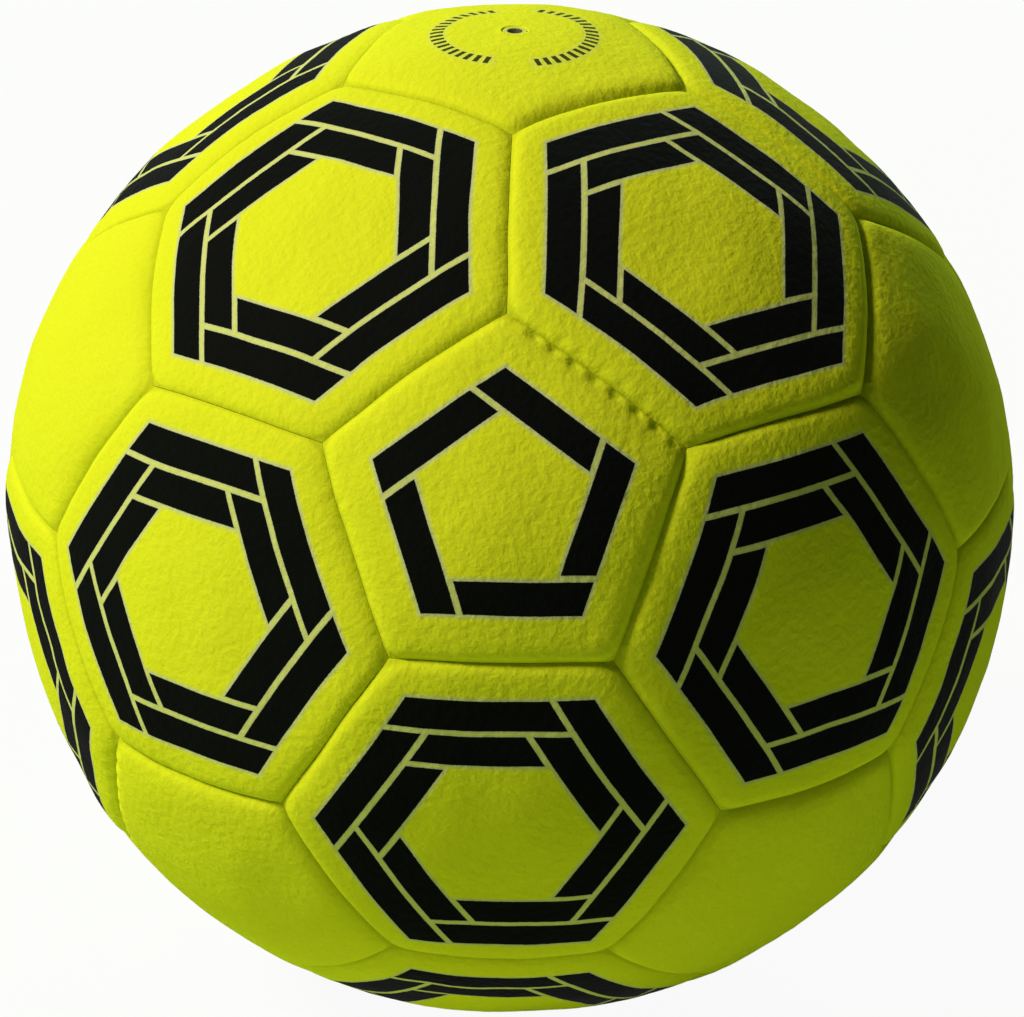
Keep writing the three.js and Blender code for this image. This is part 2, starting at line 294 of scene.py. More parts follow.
class NodeBench:
    """Adds nodes to a tree and joins their sockets."""

    def __init__(self, tree: bpy.types.NodeTree) -> None:
        """Keeps the tree that the nodes go in."""
        self.tree = tree

    def add(self, kind: str, inputs: dict | None = None, **settings: object) -> bpy.types.Node:
        """Adds one node.

        Args:
            kind: Blender's name for the type of node.
            inputs: values or sockets to feed it, by the input's name or place.
            settings: properties of the node, set before its inputs are fed.

        Returns:
            The new node.
        """
        node = self.tree.nodes.new(kind)
        for name, value in settings.items():
            setattr(node, name, value)
        for key, value in (inputs or {}).items():
            if isinstance(value, Socket):
                self.tree.links.new(value, node.inputs[key])
            else:
                node.inputs[key].default_value = value
        return node

    def calc(self, operation: str, *values: Fed) -> Socket:
        """Returns the result of a sum on numbers."""
        return self.add("ShaderNodeMath", dict(enumerate(values)), operation=operation).outputs[0]

    def chain(self, operation: str, *values: Fed) -> Socket:
        """Returns the result of one operation over several numbers.

        Args:
            operation: Blender's name for it.
            values: the numbers, taken in order.

        Returns:
            The number's socket.
        """
        total = values[0]
        for value in values[1:]:
            total = self.calc(operation, total, value)
        return total

    def flat_length(self, x: Socket, y: Socket) -> Socket:
        """Returns the distance of a point in a plane from the middle."""
        squares = self.calc("ADD", self.calc("POWER", x, 2.0), self.calc("POWER", y, 2.0))
        return self.calc("SQRT", squares)

    def seen(self) -> Socket:
        """Returns 1 for rays from the camera, in reflections and through glass, else 0."""
        rays = self.add("ShaderNodeLightPath").outputs
        kinds = ("Is Camera Ray", "Is Glossy Ray", "Is Transmission Ray")
        return self.chain("MAXIMUM", *(rays[kind] for kind in kinds))

    def vector(self, operation: str, *values: Fed) -> Socket:
        """Returns the result of a sum on vectors.

        Args:
            operation: Blender's name for the sum.
            values: what goes in.

        Returns:
            The socket of a vector or a number, as the sum gives.
        """
        node = self.add("ShaderNodeVectorMath", dict(enumerate(values)), operation=operation)
        numbers = ("DOT_PRODUCT", "LENGTH", "DISTANCE")
        return node.outputs["Value" if operation in numbers else "Vector"]

    def scaled(self, vector: Fed, factor: Fed) -> Socket:
        """Returns a vector times a number."""
        inputs = {"Vector": vector, "Scale": factor}
        return self.add("ShaderNodeVectorMath", inputs, operation="SCALE").outputs["Vector"]

    def noise(self, place: Fed, scale: Fed, detail: float = 2.0, seed: Fed = 0.0) -> Socket:
        """Returns noise about one half.

        Args:
            place: where it is read.
            scale: features for each unit of the place.
            detail: how many finer layers are added.
            seed: another value gives other noise.

        Returns:
            The number's socket.
        """
        inputs = {"Vector": place, "W": seed, "Scale": scale, "Detail": detail}
        return self.add("ShaderNodeTexNoise", inputs, noise_dimensions="4D").outputs[0]

    def grain(self, place: Fed, grain: Grain) -> Socket:
        """Returns a named noise, read at a place."""
        return self.noise(place, grain.scale, grain.detail, grain.seed)

    def swirl(self, place: Fed, scale: Fed, reach: Fed, seed: Fed = 0.0) -> Socket:
        """Returns a smooth vector noise about zero.

        Args:
            place: where it is read.
            scale: features for each unit of the place.
            reach: about how far it goes.
            seed: another value gives other noise.

        Returns:
            The vector's socket.
        """
        inputs = {"Vector": place, "W": seed, "Scale": scale, "Detail": 1.0}
        node = self.add("ShaderNodeTexNoise", inputs, noise_dimensions="4D")
        centred = self.vector("SUBTRACT", node.outputs[1], (0.5, 0.5, 0.5))
        return self.scaled(centred, reach)

    def remap(self, value: Fed, low: Fed, high: Fed, start: Fed = 0.0, end: Fed = 1.0) -> Socket:
        """Returns a number that runs smoothly from start to end as value goes from low to high."""
        inputs = {"Value": value, "From Min": low, "From Max": high, "To Min": start, "To Max": end}
        return self.add("ShaderNodeMapRange", inputs, interpolation_type="SMOOTHSTEP").outputs[0]

    def step(self, value: Fed, step: Step) -> Socket:
        """Returns a number after a named smooth step."""
        return self.remap(value, step.low, step.high, step.start, step.end)

    def blend(self, share: Fed, first: Fed, second: Fed) -> Socket:
        """Returns a colour between two, the second at a share of 1."""
        inputs = {0: share, 6: opaque(first), 7: opaque(second)}
        return self.add("ShaderNodeMix", inputs, data_type="RGBA").outputs[2]

    def between(self, share: Fed, first: Fed, second: Fed) -> Socket:
        """Returns a number between two, the second at a share of 1."""
        inputs = {0: share, 2: first, 3: second}
        return self.add("ShaderNodeMix", inputs, data_type="FLOAT").outputs[0]


class ShapeTree:
    """A Geometry Nodes tree with named inputs, run on one mesh at a time."""

    def __init__(self, name: str, sizes: dict[str, float]) -> None:
        """Opens the tree.

        Args:
            name: name of the tree.
            sizes: the tree's number inputs and their values.
        """
        self.tree = bpy.data.node_groups.new(name, "GeometryNodeTree")
        self.sockets: dict[str, str] = {}
        self.declare("Geometry", "NodeSocketGeometry")
        for label, size in sizes.items():
            self.declare(label, "NodeSocketFloat").default_value = size
        self.declare("Material", "NodeSocketMaterial")
        self.declare("Geometry", "NodeSocketGeometry", "OUTPUT")
        self.bench = NodeBench(self.tree)
        self.given = self.bench.add("NodeGroupInput").outputs

    def declare(
        self, label: str, kind: str, side: str = "INPUT"
    ) -> bpy.types.NodeTreeInterfaceSocket:
        """Adds one socket to the tree's interface.

        Args:
            label: its name.
            kind: Blender's name for its type.
            side: INPUT or OUTPUT.

        Returns:
            The new socket.
        """
        socket = self.tree.interface.new_socket(label, in_out=side, socket_type=kind)
        if side == "INPUT":
            self.sockets[label] = socket.identifier
        return socket

    def attribute(self, name: str) -> Socket:
        """Returns a number attribute of the mesh."""
        node = self.bench.add("GeometryNodeInputNamedAttribute", {"Name": name}, data_type="FLOAT")
        return node.outputs["Attribute"]

    def sunk(self, geometry: Socket, outward: Socket, depth: Socket) -> Socket:
        """Returns geometry moved in by a depth and aside by the sewing's straying.

        The tree has the inputs Wander and Wander Scale for it.

        Args:
            geometry: what is moved.
            outward: direction of each of its points from the ball's centre.
            depth: how far each point moves in.

        Returns:
            The geometry's socket.
        """
        bench = self.bench
        inward = bench.scaled(outward, bench.calc("MULTIPLY", depth, -1.0))
        stray = bench.swirl(outward, self.given["Wander Scale"], self.given["Wander"])
        inputs = {"Geometry": geometry, "Offset": bench.vector("ADD", inward, stray)}
        return bench.add("GeometryNodeSetPosition", inputs).outputs[0]

    def close(self, geometry: Socket) -> None:
        """Ends the tree in real geometry that wears the given material.

        Args:
            geometry: the finished shape.
        """
        real = self.bench.add("GeometryNodeRealizeInstances", {"Geometry": geometry})
        inputs = {"Geometry": real.outputs[0], "Material": self.given["Material"]}
        dressed = self.bench.add("GeometryNodeSetMaterial", inputs)
        self.bench.add("NodeGroupOutput", {0: dressed.outputs[0]})

    def run(
        self,
        mesh: bpy.types.Mesh,
        material: bpy.types.Material,
        sizes: dict[str, float] | None = None,
    ) -> bpy.types.Mesh:
        """Shapes a mesh.

        Args:
            mesh: the mesh that goes in, which is used up.
            material: what the result wears.
            sizes: inputs that differ in this run, by label.

        Returns:
            A plain mesh with nothing left to evaluate.
        """
        holder = link(mesh.name, mesh)
        modifier = holder.modifiers.new("shape", "NODES")
        modifier.node_group = self.tree
        modifier[self.sockets["Material"]] = material
        for label, size in (sizes or {}).items():
            modifier[self.sockets[label]] = size
        graph = bpy.context.evaluated_depsgraph_get()
        shaped = bpy.data.meshes.new_from_object(holder.evaluated_get(graph))
        holder.modifiers.clear()
        bpy.data.objects.remove(holder)
        bpy.data.meshes.remove(mesh)
        return shaped


# Finishes


class Finish:
    """A material made of nodes, round one Principled shader."""

    def __init__(self, name: str) -> None:
        """Opens the material.

        Args:
            name: name of the material.
        """
        self.material = bpy.data.materials.new(name)
        self.material.use_nodes = True
        self.material.node_tree.nodes.clear()
        self.bench = NodeBench(self.material.node_tree)
        self.place = self.bench.add("ShaderNodeTexCoord").outputs["Object"]

    def close(self, inputs: dict[str, Fed]) -> bpy.types.Material:
        """Adds the shader and the output.

        Args:
            inputs: what the shader is fed, by the input's name.

        Returns:
            The finished material.
        """
        shader = self.bench.add("ShaderNodeBsdfPrincipled", inputs)
        self.bench.add("ShaderNodeOutputMaterial", {"Surface": shader.outputs[0]})
        return self.material

    def bump(self, height: Socket, distance: float, strength: float = 1.0) -> Socket:
        """Returns the normal of a surface raised by a height from 0 to 1 times a distance."""
        inputs = {"Height": height, "Distance": distance, "Strength": strength}
        return self.bench.add("ShaderNodeBump", inputs).outputs[0]


@dataclass(frozen=True)
class BarFrames:
    """Printed frames, one inside another. Each bar ends against the side of the next.

    Attributes:
        sides: bars in a frame.
        reach: distance from the panel's middle to the outer edge of the outermost bars.
        bar: width of a bar.
        gap: bare felt between two bars.
        count: how many frames.
    """

    sides: int
    reach: float
    bar: float = 6.6 * MM
    gap: float = 1.25 * MM
    count: int = 1

    def distance(self, bench: NodeBench, x: Socket, y: Socket) -> Socket:
        """Returns the distance of a point on the panel to the ink, less than 0 inside it.

        Args:
            bench: where the nodes go.
            x: how far the point lies from the panel's middle, towards its first corner.
            y: the same, square to that.

        Returns:
            The number's socket.
        """
        step = 2 * math.pi / self.sides
        bearing = bench.calc("ARCTAN2", y, x)
        sector = bench.calc("FLOOR", bench.calc("DIVIDE", bearing, step))
        middle = bench.calc("MULTIPLY", bench.calc("ADD", sector, 0.5), step)
        off = bench.calc("SUBTRACT", bearing, middle)
        away = bench.flat_length(x, y)
        own = bench.calc("MULTIPLY", away, bench.calc("COSINE", off))
        last = bench.calc("MULTIPLY", away, bench.calc("COSINE", bench.calc("ADD", off, step)))
        bars = []
        for number in range(self.count):
            outer = self.reach - number * (self.bar + self.gap)
            inner = outer - self.bar
            bars.append(self.bar_distance(bench, own, last, outer, inner))
        return bench.chain("MINIMUM", *bars)

    def bar_distance(
        self, bench: NodeBench, own: Socket, last: Socket, outer: float, inner: float
    ) -> Socket:
        """Returns the distance to a frame, from those square to this side and to the one before.

        Args:
            bench: where the nodes go.
            own: distance from the panel's middle, square to this side.
            last: distance from the panel's middle, square to the side before.
            outer: the frame's outer edge.
            inner: the frame's inner edge.

        Returns:
            The number's socket.
        """
        ending = bench.chain(
            "MAXIMUM",
            bench.calc("SUBTRACT", inner, own),
            bench.calc("SUBTRACT", own, outer),
            bench.calc("SUBTRACT", last, inner - self.gap),
        )
        passing = bench.chain(
            "MAXIMUM",
            bench.calc("SUBTRACT", inner, last),
            bench.calc("SUBTRACT", last, outer),
            bench.calc("SUBTRACT", own, outer),
        )
        return bench.calc("MINIMUM", ending, passing)


@dataclass(frozen=True)
class TickRing:
    """A printed ring of short ticks, in two arcs.

    Attributes:
        inner: inner radius of the ring.
        outer: outer radius of the ring.
        ticks: how many ticks a whole ring would have.
        width: width of a tick.
        opening: half of the angle of each of the two openings, in degrees.
    """

    inner: float = 14.8 * MM
    outer: float = 17.6 * MM
    ticks: int = 48
    width: float = 1.1 * MM
    opening: float = 15.0

    def distance(self, bench: NodeBench, x: Socket, y: Socket) -> Socket:
        """Returns the distance of a point on the panel to the ink, less than 0 inside it.

        Args:
            bench: where the nodes go.
            x: how far the point lies from the panel's middle, towards its first corner.
            y: the same, square to that.

        Returns:
            The number's socket.
        """
        bearing = bench.calc("ARCTAN2", y, x)
        away = bench.flat_length(x, y)
        turn = bench.calc("FRACT", bench.calc("MULTIPLY", bearing, self.ticks / (2 * math.pi)))
        pitch = bench.calc("MULTIPLY", away, 2 * math.pi / self.ticks)
        off = bench.calc("ABSOLUTE", bench.calc("SUBTRACT", turn, 0.5))
        aside = bench.calc("MULTIPLY", off, pitch)
        from_opening = bench.calc("ABSOLUTE", bench.calc("SINE", bearing))
        opening = math.sin(math.radians(self.opening))
        return bench.chain(
            "MAXIMUM",
            bench.calc("SUBTRACT", self.inner, away),
            bench.calc("SUBTRACT", away, self.outer),
            bench.calc("SUBTRACT", aside, self.width / 2),
            bench.calc("MULTIPLY", bench.calc("SUBTRACT", opening, from_opening), self.outer),
        )


class Print(Enum):
    """What is printed on a panel."""

    PLAIN = "plain"
    NESTED_FRAMES = "nested_frames"
    ONE_FRAME = "one_frame"
    TICKS = "ticks"

    def artwork(self) -> BarFrames | TickRing | None:
        """Returns the print, or None for a plain panel."""
        return {
            Print.NESTED_FRAMES: BarFrames(sides=6, reach=32.4 * MM, count=2),
            Print.ONE_FRAME: BarFrames(sides=5, reach=21.5 * MM),
            Print.TICKS: TickRing(),
        }.get(self)


@dataclass(frozen=True)
class FeltFinish:
    """Short-napped felt on cloth, with matt ink where a panel is printed.

    The felt reads three attributes of its mesh: panel_place, seam_inset and backing.

    Attributes:
        artwork: what is printed.
        colour: the felt's own colour.
        tuft_shade_and_patch: painted shade between the tufts, and the tone of the darker patches.
        tip_highlight: painted highlight on the tips of the tufts.
        crease_shade: painted shade at the bottom of the seams.
        ink: colour of the ink.
        worn_ink: colour of the small print's ink.
        rim: colour of the felt that the ink's edge has bleached.
        cloth: colour of the backing.
        edge: half the width over which the ink ends.
        rim_width: how far the bleached rim reaches from the ink.
        ragged: how far the ink's edge strays with the tufts.
        bleach: how much of the rim's colour shows beside the ink.
        small_bleach: the same beside the small print.
        combing: factors on the place, below 1 where tufts and fibres are drawn out.
        tufts: noise of the tufts.
        clumps: noise of the clumps that the tufts form.
        fibres: noise of single fibres.
        clouds: noise of large patches that are a little darker.
        body: step of the tufts from the painted shade to the felt's own colour.
        tips: step of the tufts from there to the painted highlight.
        shade: step of the clouds to the tone of the darker patches.
        crease_shade_step: step of the distance from a seam to the painted shade at its bottom.
        tuft_height: share of the tufts in the height of the nap.
        fibre_height: share of the fibres in it.
        clump_height: share of the clumps in it.
        relief: height of the nap.
        relief_strength: how strongly the light shows it.
        roughness: of the felt.
        ink_roughness: of the ink.
        specular: level of the felt's specular light.
    """

    artwork: Print
    colour: Colour = (0.765, 0.825, 0.018)
    tuft_shade_and_patch: Colour = (0.73, 0.79, 0.014)
    tip_highlight: Colour = (0.785, 0.84, 0.024)
    crease_shade: Colour = (0.30, 0.36, 0.004)
    ink: Colour = (0.0035, 0.0042, 0.0030)
    worn_ink: Colour = (0.045, 0.053, 0.004)
    rim: Colour = (0.54, 0.59, 0.30)
    cloth: Colour = (0.62, 0.60, 0.52)
    edge: float = 0.08 * MM
    rim_width: float = 1.15 * MM
    ragged: float = 0.22 * MM
    bleach: float = 0.85
    small_bleach: float = 0.2
    combing: tuple[float, float, float] = (1.0, 0.9, 1.0)
    tufts: Grain = Grain(1700.0, detail=4.0)
    clumps: Grain = Grain(560.0, detail=3.0, seed=8.0)
    fibres: Grain = Grain(4200.0, seed=4.0)
    clouds: Grain = Grain(60.0, detail=3.0, seed=13.0)
    body: Step = Step(0.34, 0.54)
    tips: Step = Step(0.52, 0.72, end=0.8)
    shade: Step = Step(0.62, 0.38, end=0.3)
    crease_shade_step: Step = Step(1.0 * MM, 0.0, end=0.35)
    tuft_height: float = 0.22
    fibre_height: float = 0.12
    clump_height: float = 1.1
    relief: float = 0.38 * MM
    relief_strength: float = 0.9
    roughness: float = 0.95
    ink_roughness: float = 0.8
    specular: float = 0.02

    def material(self) -> bpy.types.Material:
        """Makes the material."""
        finish = Finish(f"felt_{self.artwork.value}")
        bench = finish.bench
        panel = bench.add("ShaderNodeAttribute", attribute_name="panel_place").outputs["Vector"]
        seam = bench.add("ShaderNodeAttribute", attribute_name="seam_inset").outputs["Fac"]
        backing = bench.add("ShaderNodeAttribute", attribute_name="backing").outputs["Fac"]
        combed = bench.vector("MULTIPLY", panel, self.combing)
        tufts = bench.grain(combed, self.tufts)
        clumps = bench.grain(panel, self.clumps)
        fibres = bench.grain(combed, self.fibres)
        clouds = bench.grain(finish.place, self.clouds)
        # Painted shade between the tufts and a painted highlight on their raised tips.
        tint = bench.blend(bench.step(tufts, self.body), self.tuft_shade_and_patch, self.colour)
        tint = bench.blend(bench.step(tufts, self.tips), tint, self.tip_highlight)
        tint = bench.blend(bench.step(clouds, self.shade), tint, self.tuft_shade_and_patch)
        # Painted shade: the felt darkens towards the seam, within a millimetre of it.
        tint = bench.blend(bench.step(seam, self.crease_shade_step), tint, self.crease_shade)
        nap = bench.chain(
            "ADD",
            bench.calc("MULTIPLY", tufts, self.tuft_height),
            bench.calc("MULTIPLY", fibres, self.fibre_height),
            bench.calc("MULTIPLY", clumps, self.clump_height),
        )
        roughness: Fed = self.roughness
        artwork = self.artwork.artwork()
        if artwork is not None:
            flat = bench.add("ShaderNodeSeparateXYZ", {0: panel}).outputs
            off = artwork.distance(bench, flat[0], flat[1])
            stray = bench.calc("MULTIPLY", bench.calc("SUBTRACT", tufts, 0.5), self.ragged)
            tint, roughness = self.printed(bench, bench.calc("ADD", off, stray), tint)
        tint = bench.blend(backing, tint, self.cloth)
        return finish.close({
            "Base Color": tint,
            "Roughness": roughness,
            "Specular IOR Level": self.specular,
            "Normal": finish.bump(nap, self.relief, self.relief_strength),
        })

    def printed(self, bench: NodeBench, off: Socket, tint: Socket) -> tuple[Socket, Socket]:
        """Lays the ink on the felt and bleaches the felt beside it.

        Args:
            bench: where the nodes go.
            off: distance to the ink, less than 0 inside it.
            tint: colour of the bare felt.

        Returns:
            The colour and the roughness.
        """
        small = self.artwork is Print.TICKS
        bleach = self.small_bleach if small else self.bleach
        tint = bench.blend(bench.remap(off, self.rim_width, 0.0, 0.0, bleach), tint, self.rim)
        inked = bench.remap(off, self.edge, -self.edge)
        tint = bench.blend(inked, tint, self.worn_ink if small else self.ink)
        return tint, bench.between(inked, self.roughness, self.ink_roughness)


@dataclass(frozen=True)
class ThreadFinish:
    """Waxed sewing thread with a twist.

    Attributes:
        colour: colour of the yarn, a blackish olive that is partly painted shade at the bottom of
            the seams.
        groove_shade: painted shade in the grooves between the yarns.
        twist: noise of the yarns.
        yarns: step of the twist from the painted groove shade to the yarn's colour.
        gloss: step of the twist to the roughness.
        relief: depth of the grooves.
    """

    colour: Colour = (0.10, 0.115, 0.012)
    groove_shade: Colour = (0.045, 0.052, 0.006)
    twist: Grain = Grain(2600.0)
    yarns: Step = Step(0.35, 0.65)
    gloss: Step = Step(0.3, 0.7, start=0.55, end=0.75)
    relief: float = 0.12 * MM

    def material(self) -> bpy.types.Material:
        """Makes the material."""
        finish = Finish("waxed_thread")
        bench = finish.bench
        twist = bench.grain(finish.place, self.twist)
        # The yarn's blackish olive is partly painted shade for the seams' bottom; its grooves get
        # painted shade.
        return finish.close({
            "Base Color": bench.blend(bench.step(twist, self.yarns), self.groove_shade, self.colour),
            "Roughness": bench.step(twist, self.gloss),
            "Normal": finish.bump(twist, self.relief),
        })


@dataclass(frozen=True)
class RubberFinish:
    """Dull moulded rubber, a little dusty.

    Attributes:
        name: name of the material.
        colour: the rubber's colour.
        dust: its colour where dust lies on it.
        roughness: of the clean rubber.
        patches: noise of the dust.
        dusting: step of the patches to the dust's colour.
        dulling: numbers of the patches between which the roughness rises.
        dulled: how much it rises.
        pores: noise of the moulded skin.
        relief: depth of the pores.
        specular: level of its specular light.
        mouth_shade: painted shade, the near-black colour of the needle's mouth.
        mouth_shade_edge: half the width over which the mouth's shade ends, as a share of its
            radius.
    """

    name: str
    colour: Colour
    dust: Colour
    roughness: float
    patches: Grain = Grain(110.0, detail=4.0)
    dusting: Step = Step(0.45, 0.75, end=0.5)
    dulling: tuple[float, float] = (0.3, 0.7)
    dulled: float = 0.15
    pores: Grain = Grain(2400.0, seed=5.0)
    relief: float = 0.04 * MM
    specular: float = 0.4
    mouth_shade: Colour = (0.045, 0.050, 0.008)
    mouth_shade_edge: float = 0.04

    def material(self, mouth: float = 0.0) -> bpy.types.Material:
        """Makes the material.

        Args:
            mouth: radius about the valve's axis within which the rubber is painted near-black as
                shade.

        Returns:
            The new material.
        """
        finish = Finish(self.name)
        bench = finish.bench
        patches = bench.grain(finish.place, self.patches)
        pores = bench.grain(finish.place, self.pores)
        dull = self.roughness + self.dulled
        tint = bench.blend(bench.step(patches, self.dusting), self.colour, self.dust)
        if mouth > 0:
            # Painted shade: the needle's mouth is coloured near-black.
            away = bench.vector("LENGTH", bench.vector("MULTIPLY", finish.place, (1.0, 1.0, 0.0)))
            mouth_shaded = bench.remap(away, mouth * (1 + self.mouth_shade_edge), mouth * (1 - self.mouth_shade_edge))
            tint = bench.blend(mouth_shaded, tint, self.mouth_shade)
        return finish.close({
            "Base Color": tint,
            "Roughness": bench.remap(patches, *self.dulling, self.roughness, dull),
            "Specular IOR Level": self.specular,
            "Normal": finish.bump(pores, self.relief),
        })


# The cover


@dataclass(frozen=True)
class Ring:
    """One ring of lattice points round a panel, on the ball's sphere.

    Attributes:
        points: its points.
        depth: how deep it comes to lie below the ball's crowns, or None where the shape tree
            decides, on the side that shows.
        backing: whether it is on the cloth side.
    """

    points: np.ndarray
    depth: float | None = None
    backing: bool = False


@dataclass(frozen=True)
class CoverSizes:
    """Sizes of the felt cover. A pentagon's middle touches the ball's own sphere.

    Attributes:
        crown_rise: how far a pentagon's middle stands above its shoulders.
        hexagon_dip: how far the middle of a hexagon lies inside the sphere.
        hexagon_rim: how far the shoulders of a hexagon lie inside the sphere.
        valve_dip: how far the valve draws the middle of its panel inside the sphere.
        uneven: how far the middle of a panel may stand off from the others.
        uneven_rim: how far the shoulders of a panel may stand off from the others.
        thickness: felt and backing.
        gap: between two allowances, back to back.
        shoulder: width of the roll from the seam to the flat of the panel.
        seam_depth: how deep the seams lie below a pentagon's middle.
        roll_width: how far from the seam the roll has flattened to four tenths of its slope.
        allowance: thickness of the turned-in edge.
        allowance_tip: how deep the turned-in edge reaches below the crowns.
        fillet: inside corner between the panel and its allowance.
        corner_round: how far from a corner its two sides begin to round it.
        crown_round: the same for the crown.
        corner_pit: extra depth for each millimetre inside a rounded corner.
        stitches: stitches along one seam.
        pucker: depth of the dimple at a stitch, in a pentagon.
        hexagon_pucker: the same in a hexagon.
        pucker_inset: distance of the dimple from the seam.
        pucker_reach: half width of the dimple, square to the seam.
        pucker_sharpness: power that narrows the dimple along the seam.
        pull: noise on the ball's unit sphere of how hard the stitches pull.
        pull_step: step of that noise to the share of the full pull.
        tight_core: angle from a tight spot within which they pull hardest, in radians.
        tight_reach: angle at which that has faded, in radians.
        wander: how far the sewing strays from a true line.
        wander_scale: features of the straying along one radius of the ball.
        swell: how much a panel's surface rises and falls over some centimetres.
        swell_scale: features of the swell along one radius of the ball.
        swell_reach: how far inside the seams it has its full height.
        wrinkle: the same as the swell, over some millimetres.
        wrinkle_scale: features of the wrinkles along one radius of the ball.
        nap: height of the tufts.
        nap_scale: tufts for each metre.
        crown_rows: rings of the lattice from the middle to the shoulder.
        roll_rows: rings round the roll.
        lining_steps: steps along a side of the ring where the lining begins.
        halfway_steps: the same for the ring halfway from there to the middle.
        hole: radius of the hole for the valve.
        hole_lip: how far the felt rounds down into the hole.
    """

    crown_rise: float = 1.0 * MM
    hexagon_dip: float = 2.4 * MM
    hexagon_rim: float = 1.35 * MM
    valve_dip: float = 0.55 * MM
    uneven: float = 0.35 * MM
    uneven_rim: float = 0.22 * MM
    thickness: float = 3.6 * MM
    gap: float = 0.1 * MM
    shoulder: float = 4.8 * MM
    seam_depth: float = 2.5 * MM
    roll_width: float = 1.8 * MM
    allowance: float = 2.4 * MM
    allowance_tip: float = 7.4 * MM
    fillet: float = 0.8 * MM
    corner_round: float = 3.0 * MM
    crown_round: float = 26.0 * MM
    corner_pit: float = 0.5
    stitches: int = 9
    pucker: float = 0.75 * MM
    hexagon_pucker: float = 0.22 * MM
    pucker_inset: float = 1.2 * MM
    pucker_reach: float = 1.1 * MM
    pucker_sharpness: float = 1.3
    pull: Grain = Grain(3.2, detail=1.0, seed=210.0)
    pull_step: Step = Step(0.53, 0.66, start=0.03, end=0.35)
    tight_core: float = 0.13
    tight_reach: float = 0.23
    wander: float = 1.2 * MM
    wander_scale: float = 5.0
    swell: float = 1.6 * MM
    swell_scale: float = 4.0
    swell_reach: float = 9.6 * MM
    wrinkle: float = 0.2 * MM
    wrinkle_scale: float = 18.0
    nap: float = 0.13 * MM
    nap_scale: float = 620.0
    crown_rows: int = 66
    roll_rows: int = 12
    lining_steps: int = 33
    halfway_steps: int = 11
    hole: float = 2.65 * MM
    hole_lip: float = 0.5 * MM

    def half_gap(self) -> float:
        """Returns how far the panel's edge stays from the seam plane."""
        return self.gap / 2

    def middle_dip(self, sides: int) -> float:
        """Returns how far a panel's middle lies inside the sphere."""
        return self.hexagon_dip if sides == 6 else 0.0

    def rim_dip(self, sides: int) -> float:
        """Returns how far a panel's shoulders lie inside the sphere."""
        return self.hexagon_rim if sides == 6 else self.crown_rise

    def pucker_depth(self, sides: int) -> float:
        """Returns how deep a stitch draws a dimple into a panel."""
        return self.hexagon_pucker if sides == 6 else self.pucker

    def level(self, sides: int, share: np.ndarray | float) -> np.ndarray | float:
        """Returns the depth of the crown at shares of the way from the middle to the seams."""
        dip = self.middle_dip(sides)
        return dip + (self.rim_dip(sides) - dip) * share**2

    def shape_inputs(self) -> dict[str, float]:
        """Returns the named inputs of the shape tree."""
        return {
            "Middle Dip": 0.0,
            "Rim Dip": self.crown_rise,
            "Half Gap": self.half_gap(),
            "Seam Depth": self.seam_depth,
            "Roll Width": self.roll_width,
            "Corner Pit": self.corner_pit,
            "Pucker": self.pucker,
            "Stitch Waves": 2 * math.pi * self.stitches / seam_angle(),
            "Pucker Inset": self.pucker_inset,
            "Pucker Reach": self.pucker_reach,
            "Wander": self.wander,
            "Wander Scale": self.wander_scale,
            "Swell": self.swell,
            "Swell Scale": self.swell_scale,
            "Swell Reach": self.swell_reach,
            "Wrinkle": self.wrinkle,
            "Wrinkle Scale": self.wrinkle_scale,
            "Nap": self.nap,
            "Nap Scale": self.nap_scale * BALL_RADIUS,
            "Seed": 0.0,
        }


